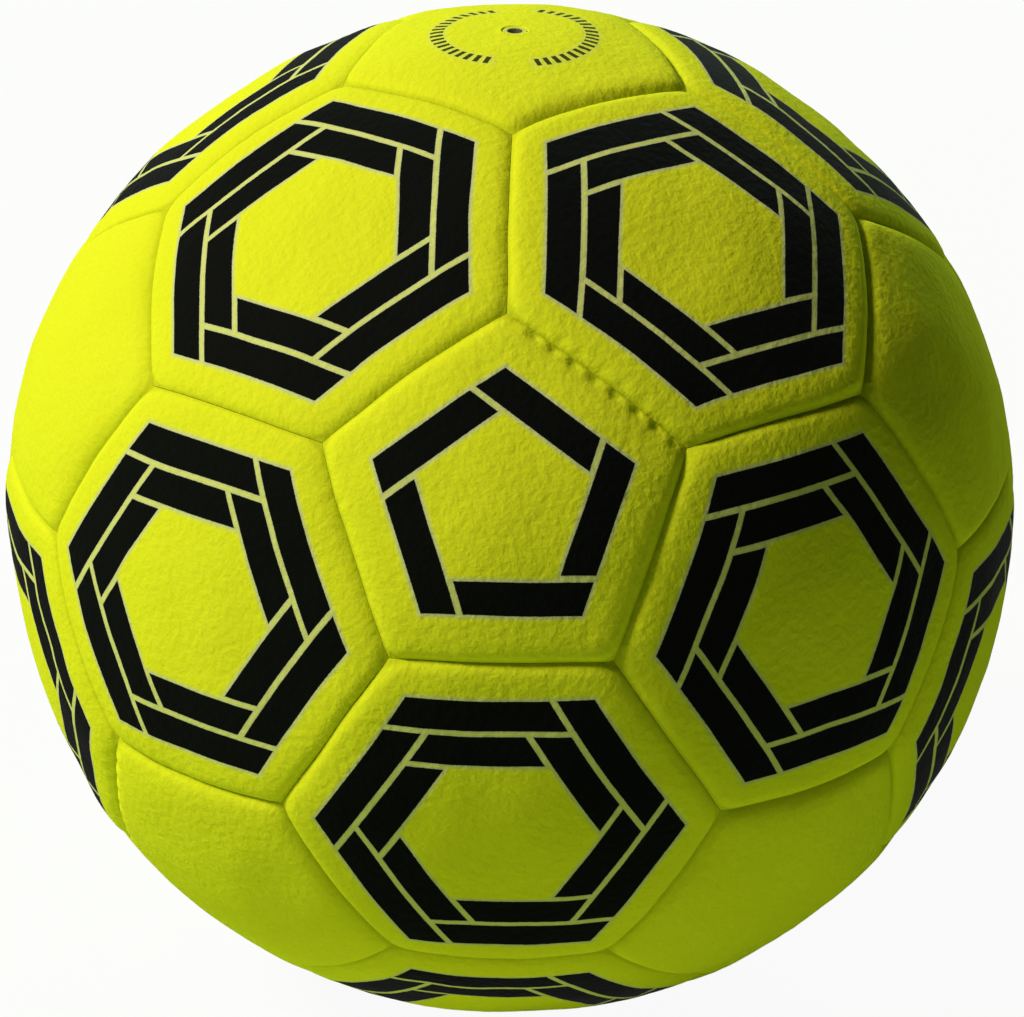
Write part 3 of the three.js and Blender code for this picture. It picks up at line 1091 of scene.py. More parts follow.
class PanelGrid:
    """Rings of points round one kind of panel in its own axes, Z out through its middle."""

    def __init__(self, sides: int, rows: int, hole: float | None = None) -> None:
        """Works out the seam planes.

        Args:
            sides: 5 or 6.
            rows: rings from the middle to the edge, and points along a side of the outermost.
            hole: radius of a round hole in the middle, or None.
        """
        self.sides = sides
        self.rows = rows
        self.hole = hole
        pattern = BallPattern()
        place = next(place for place in pattern.places() if place.sides == sides)
        corner_lean = math.acos((pattern.seam_corners() @ place.turn[:, 2]).max())
        bearings = 2 * math.pi * np.arange(sides) / sides
        flat = np.column_stack([np.cos(bearings), np.sin(bearings)]) * math.sin(corner_lean)
        self.corners = np.column_stack([flat, np.full(sides, math.cos(corner_lean))])
        following = np.roll(self.corners, -1, axis=0)
        self.normals = unit(np.cross(self.corners, following))
        self.middles = unit(self.corners + following)
        self.alongs = unit(following - self.corners)
        self.pole_inset = BALL_RADIUS * self.normals[0, 2]

    def ring(self, inset: float, steps: int) -> np.ndarray:
        """Returns the ring of points at a distance from the seam planes.

        Args:
            inset: the distance.
            steps: steps along each side, or 0 for the middle alone.

        Returns:
            One row of coordinates for each point, on the sphere.
        """
        if steps == 0:
            return np.array([[0.0, 0.0, BALL_RADIUS]])
        before = np.roll(self.normals, 1, axis=0)
        spread = 1 + (before * self.normals).sum(1, keepdims=True)
        offset = (before + self.normals) * inset / spread
        rest = np.sqrt(BALL_RADIUS**2 - (offset**2).sum(1, keepdims=True))
        start = offset + self.corners * rest
        end = np.roll(start, -1, axis=0)
        share = (np.arange(steps) / steps)[None, :, None]
        points = start[:, None] * (1 - share) + end[:, None] * share
        normal = self.normals[:, None]
        points -= (points * normal).sum(2, keepdims=True) * normal
        points = unit(points) * math.sqrt(BALL_RADIUS**2 - inset**2) + normal * inset
        return points.reshape(-1, 3)

    def middle_rings(self, edge: float) -> list[np.ndarray]:
        """Returns evenly spaced rings from the middle, or from the hole, outwards.

        Args:
            edge: distance of the outermost from the seam planes.

        Returns:
            The points of each ring.
        """
        insets = np.linspace(self.pole_inset, edge, self.rows + 1)
        if self.hole is None:
            return [self.ring(inset, row) for row, inset in enumerate(insets)]
        rows = range(self.hole_row(), self.rows + 1)
        return [self.opened(self.ring(insets[row], row), row) for row in rows]

    def hole_row(self) -> int:
        """Returns the row that becomes the edge of the hole."""
        return round(self.hole / self.pole_inset * self.rows)

    def opened(self, points: np.ndarray, row: int) -> np.ndarray:
        """Returns a ring drawn out to a circle where it is near the hole.

        Args:
            points: the ring.
            row: its number, counted from the middle.

        Returns:
            The ring's points in their new places.
        """
        beyond = row - self.hole_row()
        easing = eased(min(beyond / (2 * self.hole_row()), 1.0))
        radius = self.hole + beyond * self.pole_inset / self.rows
        away = np.linalg.norm(points[:, :2], axis=1, keepdims=True)
        flat = points[:, :2] * (easing + (1 - easing) * radius / away)
        height = np.sqrt(BALL_RADIUS**2 - (flat**2).sum(1, keepdims=True))
        return np.hstack([flat, height])

    def circle(self, radius: float) -> np.ndarray:
        """Returns a round ring about the middle.

        Args:
            radius: of the ring.

        Returns:
            As many points as the hole's edge has.
        """
        count = self.sides * self.hole_row()
        bearings = 2 * math.pi * np.arange(count) / count
        flat = np.column_stack([np.cos(bearings), np.sin(bearings)]) * radius
        return np.column_stack([flat, np.full(count, math.sqrt(BALL_RADIUS**2 - radius**2))])

    def faces(self, counts: list[int], closed: bool = False) -> np.ndarray:
        """Returns triangles between each ring and the next, facing out of the panel.

        Args:
            counts: points in each ring.
            closed: whether the last ring also joins the first.

        Returns:
            One row of three point numbers for each triangle.
        """
        starts = np.concatenate([[0], np.cumsum(counts)])
        pairs = [(number, number + 1) for number in range(len(counts) - 1)]
        if closed:
            pairs.append((len(counts) - 1, 0))
        return np.concatenate([
            self.band(counts[lower], counts[upper], starts[lower], starts[upper])
            for upper, lower in pairs
        ])

    def band(self, lower: int, upper: int, lower_start: int, upper_start: int) -> np.ndarray:
        """Returns the triangles between two rings.

        Args:
            lower: points of the ring that comes later.
            upper: points of the ring that comes first, 1 for the middle itself.
            lower_start: number of the later ring's first point.
            upper_start: number of the first ring's first point.

        Returns:
            One row of three point numbers for each triangle.
        """
        low_steps = 0 if lower == 1 else lower // self.sides
        high_steps = 0 if upper == 1 else upper // self.sides
        rows = []
        low_step = 0
        high_step = 0
        while low_step < low_steps or high_step < high_steps:
            low_next = (low_step + 1) / low_steps if low_step < low_steps else math.inf
            high_next = (high_step + 1) / high_steps if high_step < high_steps else math.inf
            if low_next <= high_next:
                rows.append(((0, low_step), (0, low_step + 1), (1, high_step)))
                low_step += 1
            else:
                rows.append(((0, low_step), (1, high_step + 1), (1, high_step)))
                high_step += 1
        pattern = np.array(rows)
        side = np.arange(self.sides)[:, None, None]
        low = lower_start + (side * low_steps + pattern[None, :, :, 1]) % lower
        high = upper_start + (side * high_steps + pattern[None, :, :, 1]) % upper
        return np.where(pattern[None, :, :, 0] == 0, low, high).reshape(-1, 3)

    def soft_inset(self, points: np.ndarray, rounding: float) -> np.ndarray:
        """Returns the distance to the nearest seam plane, rounded off near a corner.

        Args:
            points: one row of coordinates for each point.
            rounding: the difference between the two least distances where it begins.

        Returns:
            One distance for each point.
        """
        insets = np.sort(points @ self.normals.T, axis=1)
        nearness = np.clip(rounding - (insets[:, 1] - insets[:, 0]), 0, None) / rounding
        return insets[:, 0] - nearness**2 * rounding / 4


@dataclass(frozen=True)
class BakeLayout:
    """Where a panel lies on its UV map, its outside large and its hidden side small.

    Attributes:
        outside: place of the outside's middle, across and up.
        outside_share: how far the outside reaches from there.
        outside_reach: how far that is on the felt.
        inside: place of the hidden side's middle, across and up.
        inside_share: how far the hidden side reaches from there.
        inside_reach: how far that is on the cloth.
        roll_step: how far each ring of the roll is set out from the last.
        inside_step: the same for each ring of the hidden side.
        rim_step: how far the hidden side's first ring is drawn in.
    """

    outside: float = 0.41
    outside_share: float = 0.40
    outside_reach: float = 52 * MM
    inside: float = 0.89
    inside_share: float = 0.10
    inside_reach: float = 62 * MM
    roll_step: float = 0.35 * MM
    inside_step: float = 1.4 * MM
    rim_step: float = 1.0 * MM


class CoverLattice(PanelGrid):
    """Lattice of a felt panel, closed round its outside, its edge and its cloth side."""

    # How far the middle of a rounded edge lies from each of its two sides, in radii.
    ROUND_MIDDLE = 0.3

    def __init__(self, sides: int, sizes: CoverSizes, punched: bool = False) -> None:
        """Sets out the grid.

        Args:
            sides: 5 or 6.
            sizes: sizes of the cover.
            punched: whether the panel has the hole for the valve.
        """
        hole = sizes.hole + sizes.hole_lip if punched else None
        super().__init__(sides, sizes.crown_rows, hole)
        self.sizes = sizes

    def rings(self) -> list[Ring]:
        """Returns all rings, from the middle of the outside round the edge to the inside's."""
        sizes = self.sizes
        rings = [Ring(points) for points in self.middle_rings(sizes.half_gap() + sizes.shoulder)]
        for row in range(1, sizes.roll_rows + 1):
            share = 1 - row / sizes.roll_rows
            inset = sizes.half_gap() + sizes.shoulder * (1 - math.sqrt(1 - share**2))
            rings.append(Ring(self.ring(inset, sizes.crown_rows)))
        rings += self.hidden_rings()
        if self.hole is None:
            middle = sizes.middle_dip(self.sides) + sizes.thickness
            return [*rings, Ring(self.ring(self.pole_inset, 0), middle, backing=True)]
        wall = Ring(self.circle(sizes.hole), sizes.hole_lip * 2)
        middle = self.ROUND_MIDDLE * sizes.hole_lip
        lip = Ring(self.circle(sizes.hole + middle), sizes.hole_lip - middle)
        foot = Ring(self.circle(sizes.hole), sizes.thickness, backing=True)
        return [wall, lip, *rings, foot]

    def hidden_rings(self) -> list[Ring]:
        """Returns the rings down the allowance, round its edge and back under the panel."""
        sizes = self.sizes
        tip = sizes.allowance_tip
        outer = sizes.half_gap()
        inner = outer + sizes.allowance
        rounding = sizes.fillet / 2
        fillet_middle = self.ROUND_MIDDLE * sizes.fillet
        lining = sizes.rim_dip(self.sides) + sizes.thickness
        around = [
            (outer, (tip + sizes.seam_depth) / 2),
            (outer, tip - rounding),
            (outer + rounding, tip),
            (inner - rounding, tip),
            (inner, tip - rounding),
            (inner, lining + sizes.fillet),
            (inner + fillet_middle, lining + fillet_middle),
        ]
        rings = [
            Ring(self.ring(inset, self.rows), depth, backing=inset > outer + rounding)
            for inset, depth in around
        ]
        foot = inner + sizes.fillet
        rings.append(Ring(self.ring(foot, sizes.lining_steps), lining, backing=True))
        halfway = (self.pole_inset + foot) / 2
        depth = sizes.level(self.sides, 0.5) + sizes.thickness
        rings.append(Ring(self.ring(halfway, sizes.halfway_steps), depth, backing=True))
        return rings

    def seam_run(self, points: np.ndarray) -> np.ndarray:
        """Returns how far points lie along their nearest side.

        Args:
            points: one row of coordinates for each point.

        Returns:
            The angle from the side's middle to each point.
        """
        nearest = np.argmin(points @ self.normals.T, axis=1)
        along = (points * self.alongs[nearest]).sum(1)
        out = (points * self.middles[nearest]).sum(1)
        return np.arctan2(along, out)

    def flat_place(self, points: np.ndarray) -> np.ndarray:
        """Returns where points lie on the panel laid flat.

        Args:
            points: one row of coordinates for each point.

        Returns:
            Two coordinates for each, at its true distance from the middle.
        """
        away = np.linalg.norm(points[:, :2], axis=1, keepdims=True)
        lean = np.arctan2(away, points[:, 2:])
        return points[:, :2] / np.maximum(away, TINY) * lean * BALL_RADIUS

    def mesh(self) -> bpy.types.Mesh:
        """Makes the lattice as a mesh, with what the shape tree and the felt read from it."""
        rings = self.rings()
        points = np.concatenate([ring.points for ring in rings])
        counts = [len(ring.points) for ring in rings]
        triangles = self.faces(counts, closed=self.hole is not None)
        mesh = mesh_of(f"lattice_{self.sides}", points, triangles)
        crown = 1 - self.soft_inset(points, self.sizes.crown_round) / self.pole_inset
        numbers = {
            "seam_inset": self.soft_inset(points, self.sizes.corner_round),
            "seam_run": self.seam_run(points),
            "crown_share": np.clip(crown, 0, None),
            "hidden": np.repeat([float(ring.depth is not None) for ring in rings], counts),
            "hidden_depth": np.repeat([ring.depth or 0.0 for ring in rings], counts),
            "backing": np.repeat([float(ring.backing) for ring in rings], counts),
        }
        for name, values in numbers.items():
            layer = mesh.attributes.new(name, "FLOAT", "POINT")
            layer.data.foreach_set("value", values.astype(np.float32))
        place = np.column_stack([self.flat_place(points), np.zeros(len(points))])
        layer = mesh.attributes.new("panel_place", "FLOAT_VECTOR", "POINT")
        layer.data.foreach_set("vector", place.astype(np.float32).ravel())
        self.map_for_baking(mesh, triangles, rings)
        return mesh

    def map_for_baking(
        self, mesh: bpy.types.Mesh, triangles: np.ndarray, rings: list[Ring]
    ) -> None:
        """Gives the mesh a UV map with its outside large and its hidden side small.

        Args:
            mesh: the lattice.
            triangles: its faces.
            rings: its rings of points.
        """
        layout = BakeLayout()
        counts = [len(ring.points) for ring in rings]
        numbers = np.arange(len(rings))
        last = max(number for number in numbers if rings[number].depth is None)
        rolled = np.clip(numbers - last + self.sizes.roll_rows, 0, None)
        set_out = rolled * layout.roll_step
        drawn = np.where(
            numbers < last, -layout.rim_step, (len(rings) - 1 - numbers) * layout.inside_step
        )
        flat = self.flat_place(np.concatenate([ring.points for ring in rings]))
        away = np.maximum(np.linalg.norm(flat, axis=1, keepdims=True), TINY)
        outer = flat * (1 + np.repeat(set_out, counts)[:, None] / away)
        inner = flat * (1 + np.repeat(drawn, counts)[:, None] / away) * np.array([-1, 1])
        outer = layout.outside + outer / layout.outside_reach * layout.outside_share
        inner = layout.inside + inner / layout.inside_reach * layout.inside_share
        deepest = np.repeat(numbers, counts)[triangles].max(1)
        places = np.where((deepest > last)[:, None, None], inner[triangles], outer[triangles])
        layer = mesh.uv_layers.new(name=BAKE_MAP)
        layer.data.foreach_set("uv", places.astype(np.float32).ravel())


class PanelShape(ShapeTree):
    """Crowns a panel, rolls its edge into the seams and puckers it at the stitches."""

    def __init__(self, sizes: CoverSizes, spots: list[np.ndarray]) -> None:
        """Builds the tree.

        Args:
            sizes: sizes of the cover.
            spots: directions on the ball where the stitches pull hardest.
        """
        super().__init__("panel_shape", sizes.shape_inputs())
        self.sizes = sizes
        self.spots = spots
        bench = self.bench
        given = self.given
        position = bench.add("GeometryNodeInputPosition").outputs[0]
        outward = bench.vector("NORMALIZE", position)
        share = self.attribute("crown_share")
        square = bench.calc("MULTIPLY", share, share)
        crown = bench.between(square, given["Middle Dip"], given["Rim Dip"])
        seam = self.attribute("seam_inset")
        into = bench.calc("SUBTRACT", seam, given["Half Gap"])
        fall = self.roll(into)
        flatness = bench.remap(into, 0.0, given["Swell Reach"])
        swell = bench.calc("MULTIPLY", self.rise(outward, "Swell"), flatness)
        wrinkle = self.rise(outward, "Wrinkle")
        nap = self.rise(outward, "Nap")
        shown = bench.chain("ADD", crown, fall, self.puckers(outward, seam), swell, wrinkle, nap)
        depth = bench.between(self.attribute("hidden"), shown, self.attribute("hidden_depth"))
        self.close(self.sunk(given["Geometry"], outward, depth))

    def roll(self, into: Socket) -> Socket:
        """Returns the depth of the roll, which is deeper in a corner.

        Args:
            into: distance from the panel's edge.

        Returns:
            The number's socket.
        """
        bench = self.bench
        away = bench.calc("DIVIDE", bench.calc("MAXIMUM", into, 0.0), self.given["Roll Width"])
        left = bench.calc("SUBTRACT", 1.0, bench.calc("TANH", away))
        valley = bench.calc("SUBTRACT", self.given["Seam Depth"], self.given["Rim Dip"])
        past = bench.calc("MAXIMUM", bench.calc("MULTIPLY", into, -1.0), 0.0)
        pit = bench.calc("MULTIPLY", past, self.given["Corner Pit"])
        return bench.calc("ADD", bench.calc("MULTIPLY", valley, left), pit)

    def rise(self, outward: Socket, label: str) -> Socket:
        """Returns the depth of a surface that rises and falls.

        Args:
            outward: direction of the point from the ball's centre.
            label: the tree's input for its height, whose scale is the input of that name.

        Returns:
            The number's socket.
        """
        scale = self.given[f"{label} Scale"]
        noise = self.bench.noise(outward, scale, 1.0, self.given["Seed"])
        middle = self.bench.calc("SUBTRACT", noise, 0.5)
        return self.bench.calc("MULTIPLY", middle, self.given[label])

    def puckers(self, outward: Socket, seam: Socket) -> Socket:
        """Returns the depth of the dimples that the stitches pull into the shoulders.

        Args:
            outward: direction of the point from the ball's centre.
            seam: its distance from the seam.

        Returns:
            The number's socket.
        """
        bench = self.bench
        phase = bench.calc("MULTIPLY", self.attribute("seam_run"), self.given["Stitch Waves"])
        wave = bench.calc("ADD", bench.calc("MULTIPLY", bench.calc("COSINE", phase), 0.5), 0.5)
        off = bench.calc("SUBTRACT", seam, self.given["Pucker Inset"])
        off = bench.calc("DIVIDE", off, self.given["Pucker Reach"])
        bell = bench.calc("EXPONENT", bench.calc("MULTIPLY", bench.calc("POWER", off, 2.0), -1.0))
        narrow = bench.calc("POWER", wave, self.sizes.pucker_sharpness)
        dimple = bench.calc("MULTIPLY", narrow, bell)
        return bench.chain("MULTIPLY", dimple, self.tightness(outward), self.given["Pucker"])

    def tightness(self, outward: Socket) -> Socket:
        """Returns how hard the stitches pull, hardest about the tight spots.

        Args:
            outward: direction of the point from the ball's centre.

        Returns:
            The socket of a number from 0 to 1.
        """
        bench = self.bench
        sizes = self.sizes
        faded = math.cos(sizes.tight_reach)
        full = math.cos(sizes.tight_core)
        pulls = [bench.step(bench.grain(outward, sizes.pull), sizes.pull_step)]
        for spot in self.spots:
            nearness = bench.vector("DOT_PRODUCT", outward, tuple(spot.tolist()))
            pulls.append(bench.remap(nearness, faded, full))
        return bench.chain("MAXIMUM", *pulls)


@dataclass
class Cover:
    """The 32 felt panels.

    Attributes:
        sizes: sizes of the cover.
        pattern: where the panels lie.
        tight_seams: pairs of panels whose seam is sewn tightest at its middle.
        seed: for what differs from panel to panel.
    """

    sizes: CoverSizes = field(default_factory=CoverSizes)
    pattern: BallPattern = field(default_factory=BallPattern)
    tight_seams: tuple[tuple[str, str], ...] = (
        (FRONT_PANEL, "hexagon_crown_1"),
        ("pentagon_upper_3", "hexagon_upper_2"),
        ("pentagon_upper_4", "hexagon_crown_4"),
        ("pentagon_lower_2", "hexagon_base_2"),
        ("pentagon_lower_5", "hexagon_lower_4"),
        ("pentagon_bottom", "hexagon_base_4"),
    )
    seed: int = 2401

    def print_on(self, place: PanelPlace) -> Print:
        """Returns what is printed on a panel.

        Args:
            place: the panel.

        Returns:
            The kind of print.
        """
        if place.sides == 6:
            return Print.NESTED_FRAMES
        prints = {VALVE_PANEL: Print.TICKS, FRONT_PANEL: Print.ONE_FRAME}
        return prints.get(place.name, Print.PLAIN)

    def levels(self, place: PanelPlace, chance: np.random.Generator) -> dict[str, float]:
        """Returns how deep one panel lies and puckers, by the shape tree's inputs.

        Args:
            place: the panel.
            chance: where its own differences come from, the middle's before the rim's.

        Returns:
            The inputs that differ from panel to panel.
        """
        sizes = self.sizes
        middle = sizes.middle_dip(place.sides) + sizes.uneven * chance.uniform(-1, 1)
        rim = sizes.rim_dip(place.sides) + sizes.uneven_rim * chance.uniform(-1, 1)
        return {
            "Middle Dip": sizes.valve_dip if place.name == VALVE_PANEL else middle,
            "Rim Dip": rim,
            "Pucker": sizes.pucker_depth(place.sides),
        }

    def build(self) -> None:
        """Makes every panel and lets it stand for its node."""
        chance = np.random.default_rng(self.seed)
        axes = {place.name: place.turn[:, 2] for place in self.pattern.places()}
        spots = [unit(axes[first] + axes[second]) for first, second in self.tight_seams]
        shape = PanelShape(self.sizes, spots)
        felts = {kind: FeltFinish(kind).material() for kind in Print}
        lattices = {
            (5, False): CoverLattice(5, self.sizes).mesh(),
            (5, True): CoverLattice(5, self.sizes, punched=True).mesh(),
            (6, False): CoverLattice(6, self.sizes).mesh(),
        }
        for place in self.pattern.places():
            lattice = lattices[place.sides, place.name == VALVE_PANEL].copy()
            lattice.transform(Matrix(place.turn.tolist()).to_4x4())
            felt = felts[self.print_on(place)]
            mesh = shape.run(lattice, felt, self.levels(place, chance))
            finish_piece(f"felt_{place.name}", mesh, place.name)
        for lattice in lattices.values():
            bpy.data.meshes.remove(lattice)


# The sewing


class SewingShape(ShapeTree):
    """Lays thread along the seams and a slanted stitch where each one passes through."""

    def __init__(self, sizes: dict[str, float]) -> None:
        """Builds the tree.

        Args:
            sizes: its number inputs and their values.
        """
        super().__init__("sewing_shape", sizes)
        position = self.bench.add("GeometryNodeInputPosition").outputs[0]
        outward = self.bench.vector("NORMALIZE", position)
        thread = self.thread()
        joined = self.bench.add("GeometryNodeJoinGeometry", {0: self.stitches(outward)})
        self.tree.links.new(thread, joined.inputs[0])
        self.close(self.sunk(joined.outputs[0], outward, self.given["Depth"]))

    def thread(self) -> Socket:
        """Returns the thread, a tube of six sides along the seams."""
        circle = {"Resolution": 6, "Radius": self.given["Radius"]}
        profile = self.bench.add("GeometryNodeCurvePrimitiveCircle", circle)
        path = self.bench.add("GeometryNodeMeshToCurve", {"Mesh": self.given["Geometry"]})
        inputs = {"Curve": path.outputs[0], "Profile Curve": profile.outputs[0], "Fill Caps": True}
        return self.bench.add("GeometryNodeCurveToMesh", inputs).outputs[0]

    def stitches(self, outward: Socket) -> Socket:
        """Returns the stitches, long beads that lie slanted across the seams.

        Args:
            outward: direction of a point from the ball's centre.

        Returns:
            The geometry's socket.
        """
        bench = self.bench
        given = self.given
        bead = bench.add("GeometryNodeMeshUVSphere", {"Segments": 8, "Rings": 6, "Radius": 1.0})
        inputs = {"Name": "stitch_way"}
        way = bench.add("GeometryNodeInputNamedAttribute", inputs, data_type="FLOAT_VECTOR")
        inputs = {"Primary Axis": outward, "Secondary Axis": way.outputs["Attribute"]}
        turn = bench.add("FunctionNodeAxesToRotation", inputs, primary_axis="Z", secondary_axis="X")
        girth = bench.calc("MULTIPLY", given["Radius"], given["Stitch Girth"])
        size = bench.add("ShaderNodeCombineXYZ", {0: given["Stitch Reach"], 1: girth, 2: girth})
        inputs = {
            "Points": given["Geometry"],
            "Selection": self.attribute("stitched"),
            "Instance": bead.outputs[0],
            "Rotation": turn.outputs[0],
            "Scale": size.outputs[0],
        }
        placed = bench.add("GeometryNodeInstanceOnPoints", inputs)
        inputs = {"Geometry": placed.outputs[0]}
        return bench.add("GeometryNodeRealizeInstances", inputs).outputs[0]


@dataclass
class Sewing:
    """The thread in the seams.

    Attributes:
        cover: sizes of the cover.
        radius: of the thread.
        stitch_reach: half the length of a stitch.
        stitch_girth: how many times thicker than the thread a stitch is.
        slant: of a stitch from square across the seam, in degrees.
        depth_below: how far the thread's middle lies below the roll.
        steps: straight steps along a seam for each stitch.
    """

    cover: CoverSizes = field(default_factory=CoverSizes)
    radius: float = 0.28 * MM
    stitch_reach: float = 1.2 * MM
    stitch_girth: float = 1.15
    slant: float = 30.0
    depth_below: float = 0.75 * MM
    steps: int = 4

    def build(self) -> None:
        """Makes the thread and lets it stand for its node."""
        tree = SewingShape({
            "Radius": self.radius,
            "Stitch Reach": self.stitch_reach,
            "Stitch Girth": self.stitch_girth,
            "Depth": self.cover.seam_depth + self.depth_below,
            "Wander": self.cover.wander,
            "Wander Scale": self.cover.wander_scale,
        })
        mesh = tree.run(self.routes(), ThreadFinish().material())
        smooth = np.ones(len(mesh.polygons), dtype=bool)
        mesh.polygons.foreach_set("use_smooth", smooth)
        finish_piece("sewing_thread", mesh, "seam_thread")

    def routes(self) -> bpy.types.Mesh:
        """Returns a mesh of edges along all the seams, marked where the stitches are."""
        count = self.cover.stitches * self.steps
        shares = (np.arange(count + 1) / count)[:, None]
        slant = math.radians(self.slant)
        points = []
        ways = []
        edges = []
        for first, second in BallPattern().seams():
            start = len(points) * (count + 1)
            seam = unit(first * (1 - shares) + second * shares)
            along = unit(second - first)
            across = unit(np.cross(first, second))
            way = across * math.cos(slant) + along * math.sin(slant)
            ways.append(np.tile(way, (count + 1, 1)))
            points.append(seam * BALL_RADIUS)
            edges.append(start + np.column_stack([np.arange(count), np.arange(1, count + 1)]))
        stitched = np.tile(np.arange(count + 1) % self.steps == self.steps // 2, len(points))
        all_points = np.concatenate(points)
        all_edges = np.concatenate(edges)
        mesh = bpy.data.meshes.new("seam_routes")
        mesh.vertices.add(len(all_points))
        mesh.vertices.foreach_set("co", all_points.astype(np.float32).ravel())
        mesh.edges.add(len(all_edges))
        mesh.edges.foreach_set("vertices", all_edges.astype(np.int32).ravel())
        layer = mesh.attributes.new("stitched", "FLOAT", "POINT")
        layer.data.foreach_set("value", stitched.astype(np.float32))
        layer = mesh.attributes.new("stitch_way", "FLOAT_VECTOR", "POINT")
        layer.data.foreach_set("vector", np.concatenate(ways).astype(np.float32).ravel())
        mesh.update()
        return mesh


# Under the cover


@dataclass
class Bladder:
    """The rubber bladder, pressed up under the panels and creased by the allowances.

    Attributes:
        cover: sizes of the cover.
        clearance: between the bladder and the cover.
        wall: thickness of the rubber.
        slope: width over which it climbs from an allowance to the lining.
        corner_round: how far from a seam corner its two creases begin to round it.
        mouth: radius of the hole that the valve's housing fills.
        rows: rings of each panel's part.
        foot_rows: more rings near the seams.
        rubber: its finish.
    """

    cover: CoverSizes = field(default_factory=CoverSizes)
    clearance: float = 0.3 * MM
    wall: float = 0.8 * MM
    slope: float = 3.0 * MM
    corner_round: float = 1.0 * MM
    mouth: float = 6.6 * MM
    rows: int = 12
    foot_rows: int = 5
    rubber: RubberFinish = RubberFinish(
        "butyl_rubber", colour=(0.014, 0.014, 0.016), dust=(0.05, 0.05, 0.048), roughness=0.5
    )

    def build(self) -> None:
        """Makes the bladder and lets it stand for its node."""
        points = []
        triangles = []
        count = 0
        for place in BallPattern().places():
            mouth = self.mouth if place.name == VALVE_PANEL else None
            grid = PanelGrid(place.sides, self.rows, mouth)
            outer, faces = self.dome(grid)
            inner = unit(outer) * (np.linalg.norm(outer, axis=1, keepdims=True) - self.wall)
            edge = len(outer)
            triangles += [faces + count, faces[:, ::-1] + count + edge]
            if mouth is not None:
                ring = place.sides * grid.hole_row()
                triangles.append(grid.band(ring, ring, count, count + edge)[:, ::-1])
            points += [outer @ place.turn.T, inner @ place.turn.T]
            count += 2 * edge
        mesh = welded("bladder_skin", np.concatenate(points), np.concatenate(triangles))
        mesh.materials.append(self.rubber.material())
        finish_piece("rubber_bladder", mesh, "bladder")

    def dome(self, grid: PanelGrid) -> tuple[np.ndarray, np.ndarray]:
        """Returns the outer skin under one panel.

        Args:
            grid: the panel's grid.

        Returns:
            The points in the panel's own axes, and the triangles.
        """
        foot = self.cover.half_gap() + self.cover.allowance + self.clearance
        rings = grid.middle_rings(foot + self.slope)
        for row in range(1, self.foot_rows + 1):
            rings.append(grid.ring((foot + self.slope) * (1 - row / self.foot_rows), grid.rows))
        points = np.concatenate(rings)
        inset = grid.soft_inset(points, self.corner_round)
        share = np.clip(1 - inset / grid.pole_inset, 0, None)
        lining = self.cover.thickness + self.clearance + self.cover.level(grid.sides, share)
        floor = self.cover.allowance_tip + self.clearance
        climb = eased(np.clip((inset - foot) / self.slope, 0, 1))
        depth = floor + (lining - floor) * climb
        counts = [len(ring) for ring in rings]
        return unit(points) * (BALL_RADIUS - depth)[:, None], grid.faces(counts)


def welded(
    name: str, points: np.ndarray, triangles: np.ndarray, within: float = 0.002 * MM
) -> bpy.types.Mesh:
    """Makes a smooth mesh with the points that lie together made one.

    Args:
        name: name of the mesh.
        points: one row of coordinates for each point.
        triangles: one row of three point numbers for each face.
        within: width of the cells whose points count as one.

    Returns:
        The new mesh.
    """
    keys = np.round(points / within).astype(np.int64)
    _, kept, places = np.unique(keys, axis=0, return_index=True, return_inverse=True)
    return mesh_of(name, points[kept], places.reshape(-1)[triangles])


@dataclass(frozen=True)
class Turning:
    """A closed profile turned about the valve's axis, with its corners rounded.

    Attributes:
        profile: radius and height of each corner, with the rubber on its left.
        rounding: of the corners.
        side_share: the most of a short side that a corner's rounding takes.
        arc_steps: steps in a rounded corner.
        segments: round the axis.
    """

    profile: list[tuple[float, float]]
    rounding: float = 0.25 * MM
    side_share: float = 0.4
    arc_steps: int = 4
    segments: int = 72

    def outline(self) -> np.ndarray:
        """Returns the profile with rounded corners."""
        corners = np.array(self.profile)
        points = []
        for before, corner, after in zip(np.roll(corners, 1, 0), corners, np.roll(corners, -1, 0)):
            shorter = min(np.linalg.norm(before - corner), np.linalg.norm(after - corner))
            reach = min(self.rounding, self.side_share * shorter)
            start = corner + unit(before - corner) * reach
            end = corner + unit(after - corner) * reach
            for step in range(self.arc_steps + 1):
                share = step / self.arc_steps
                bent = 2 * corner * share * (1 - share)
                points.append(start * (1 - share) ** 2 + bent + end * share**2)
        return np.array(points)

    def mesh(self, name: str) -> bpy.types.Mesh:
        """Makes the turned mesh.

        Args:
            name: name of the mesh.

        Returns:
            The new mesh.
        """
        outline = self.outline()
        bearings = 2 * math.pi * np.arange(self.segments) / self.segments
        around = np.column_stack([np.cos(bearings), np.sin(bearings)])
        flat = outline[:, None, :1] * around[None]
        height = np.repeat(outline[:, None, 1:], self.segments, axis=1)
        points = np.concatenate([flat, height], axis=2).reshape(-1, 3)
        ring = np.arange(len(outline))[:, None] * self.segments
        after = (np.arange(len(outline))[:, None] + 1) % len(outline) * self.segments
        here = np.arange(self.segments)[None]
        there = (here + 1) % self.segments
        first = np.stack([ring + here, ring + there, after + there], axis=2).reshape(-1, 3)
        second = np.stack([ring + here, after + there, after + here], axis=2).reshape(-1, 3)
        return mesh_of(name, points, np.concatenate([first, second]))


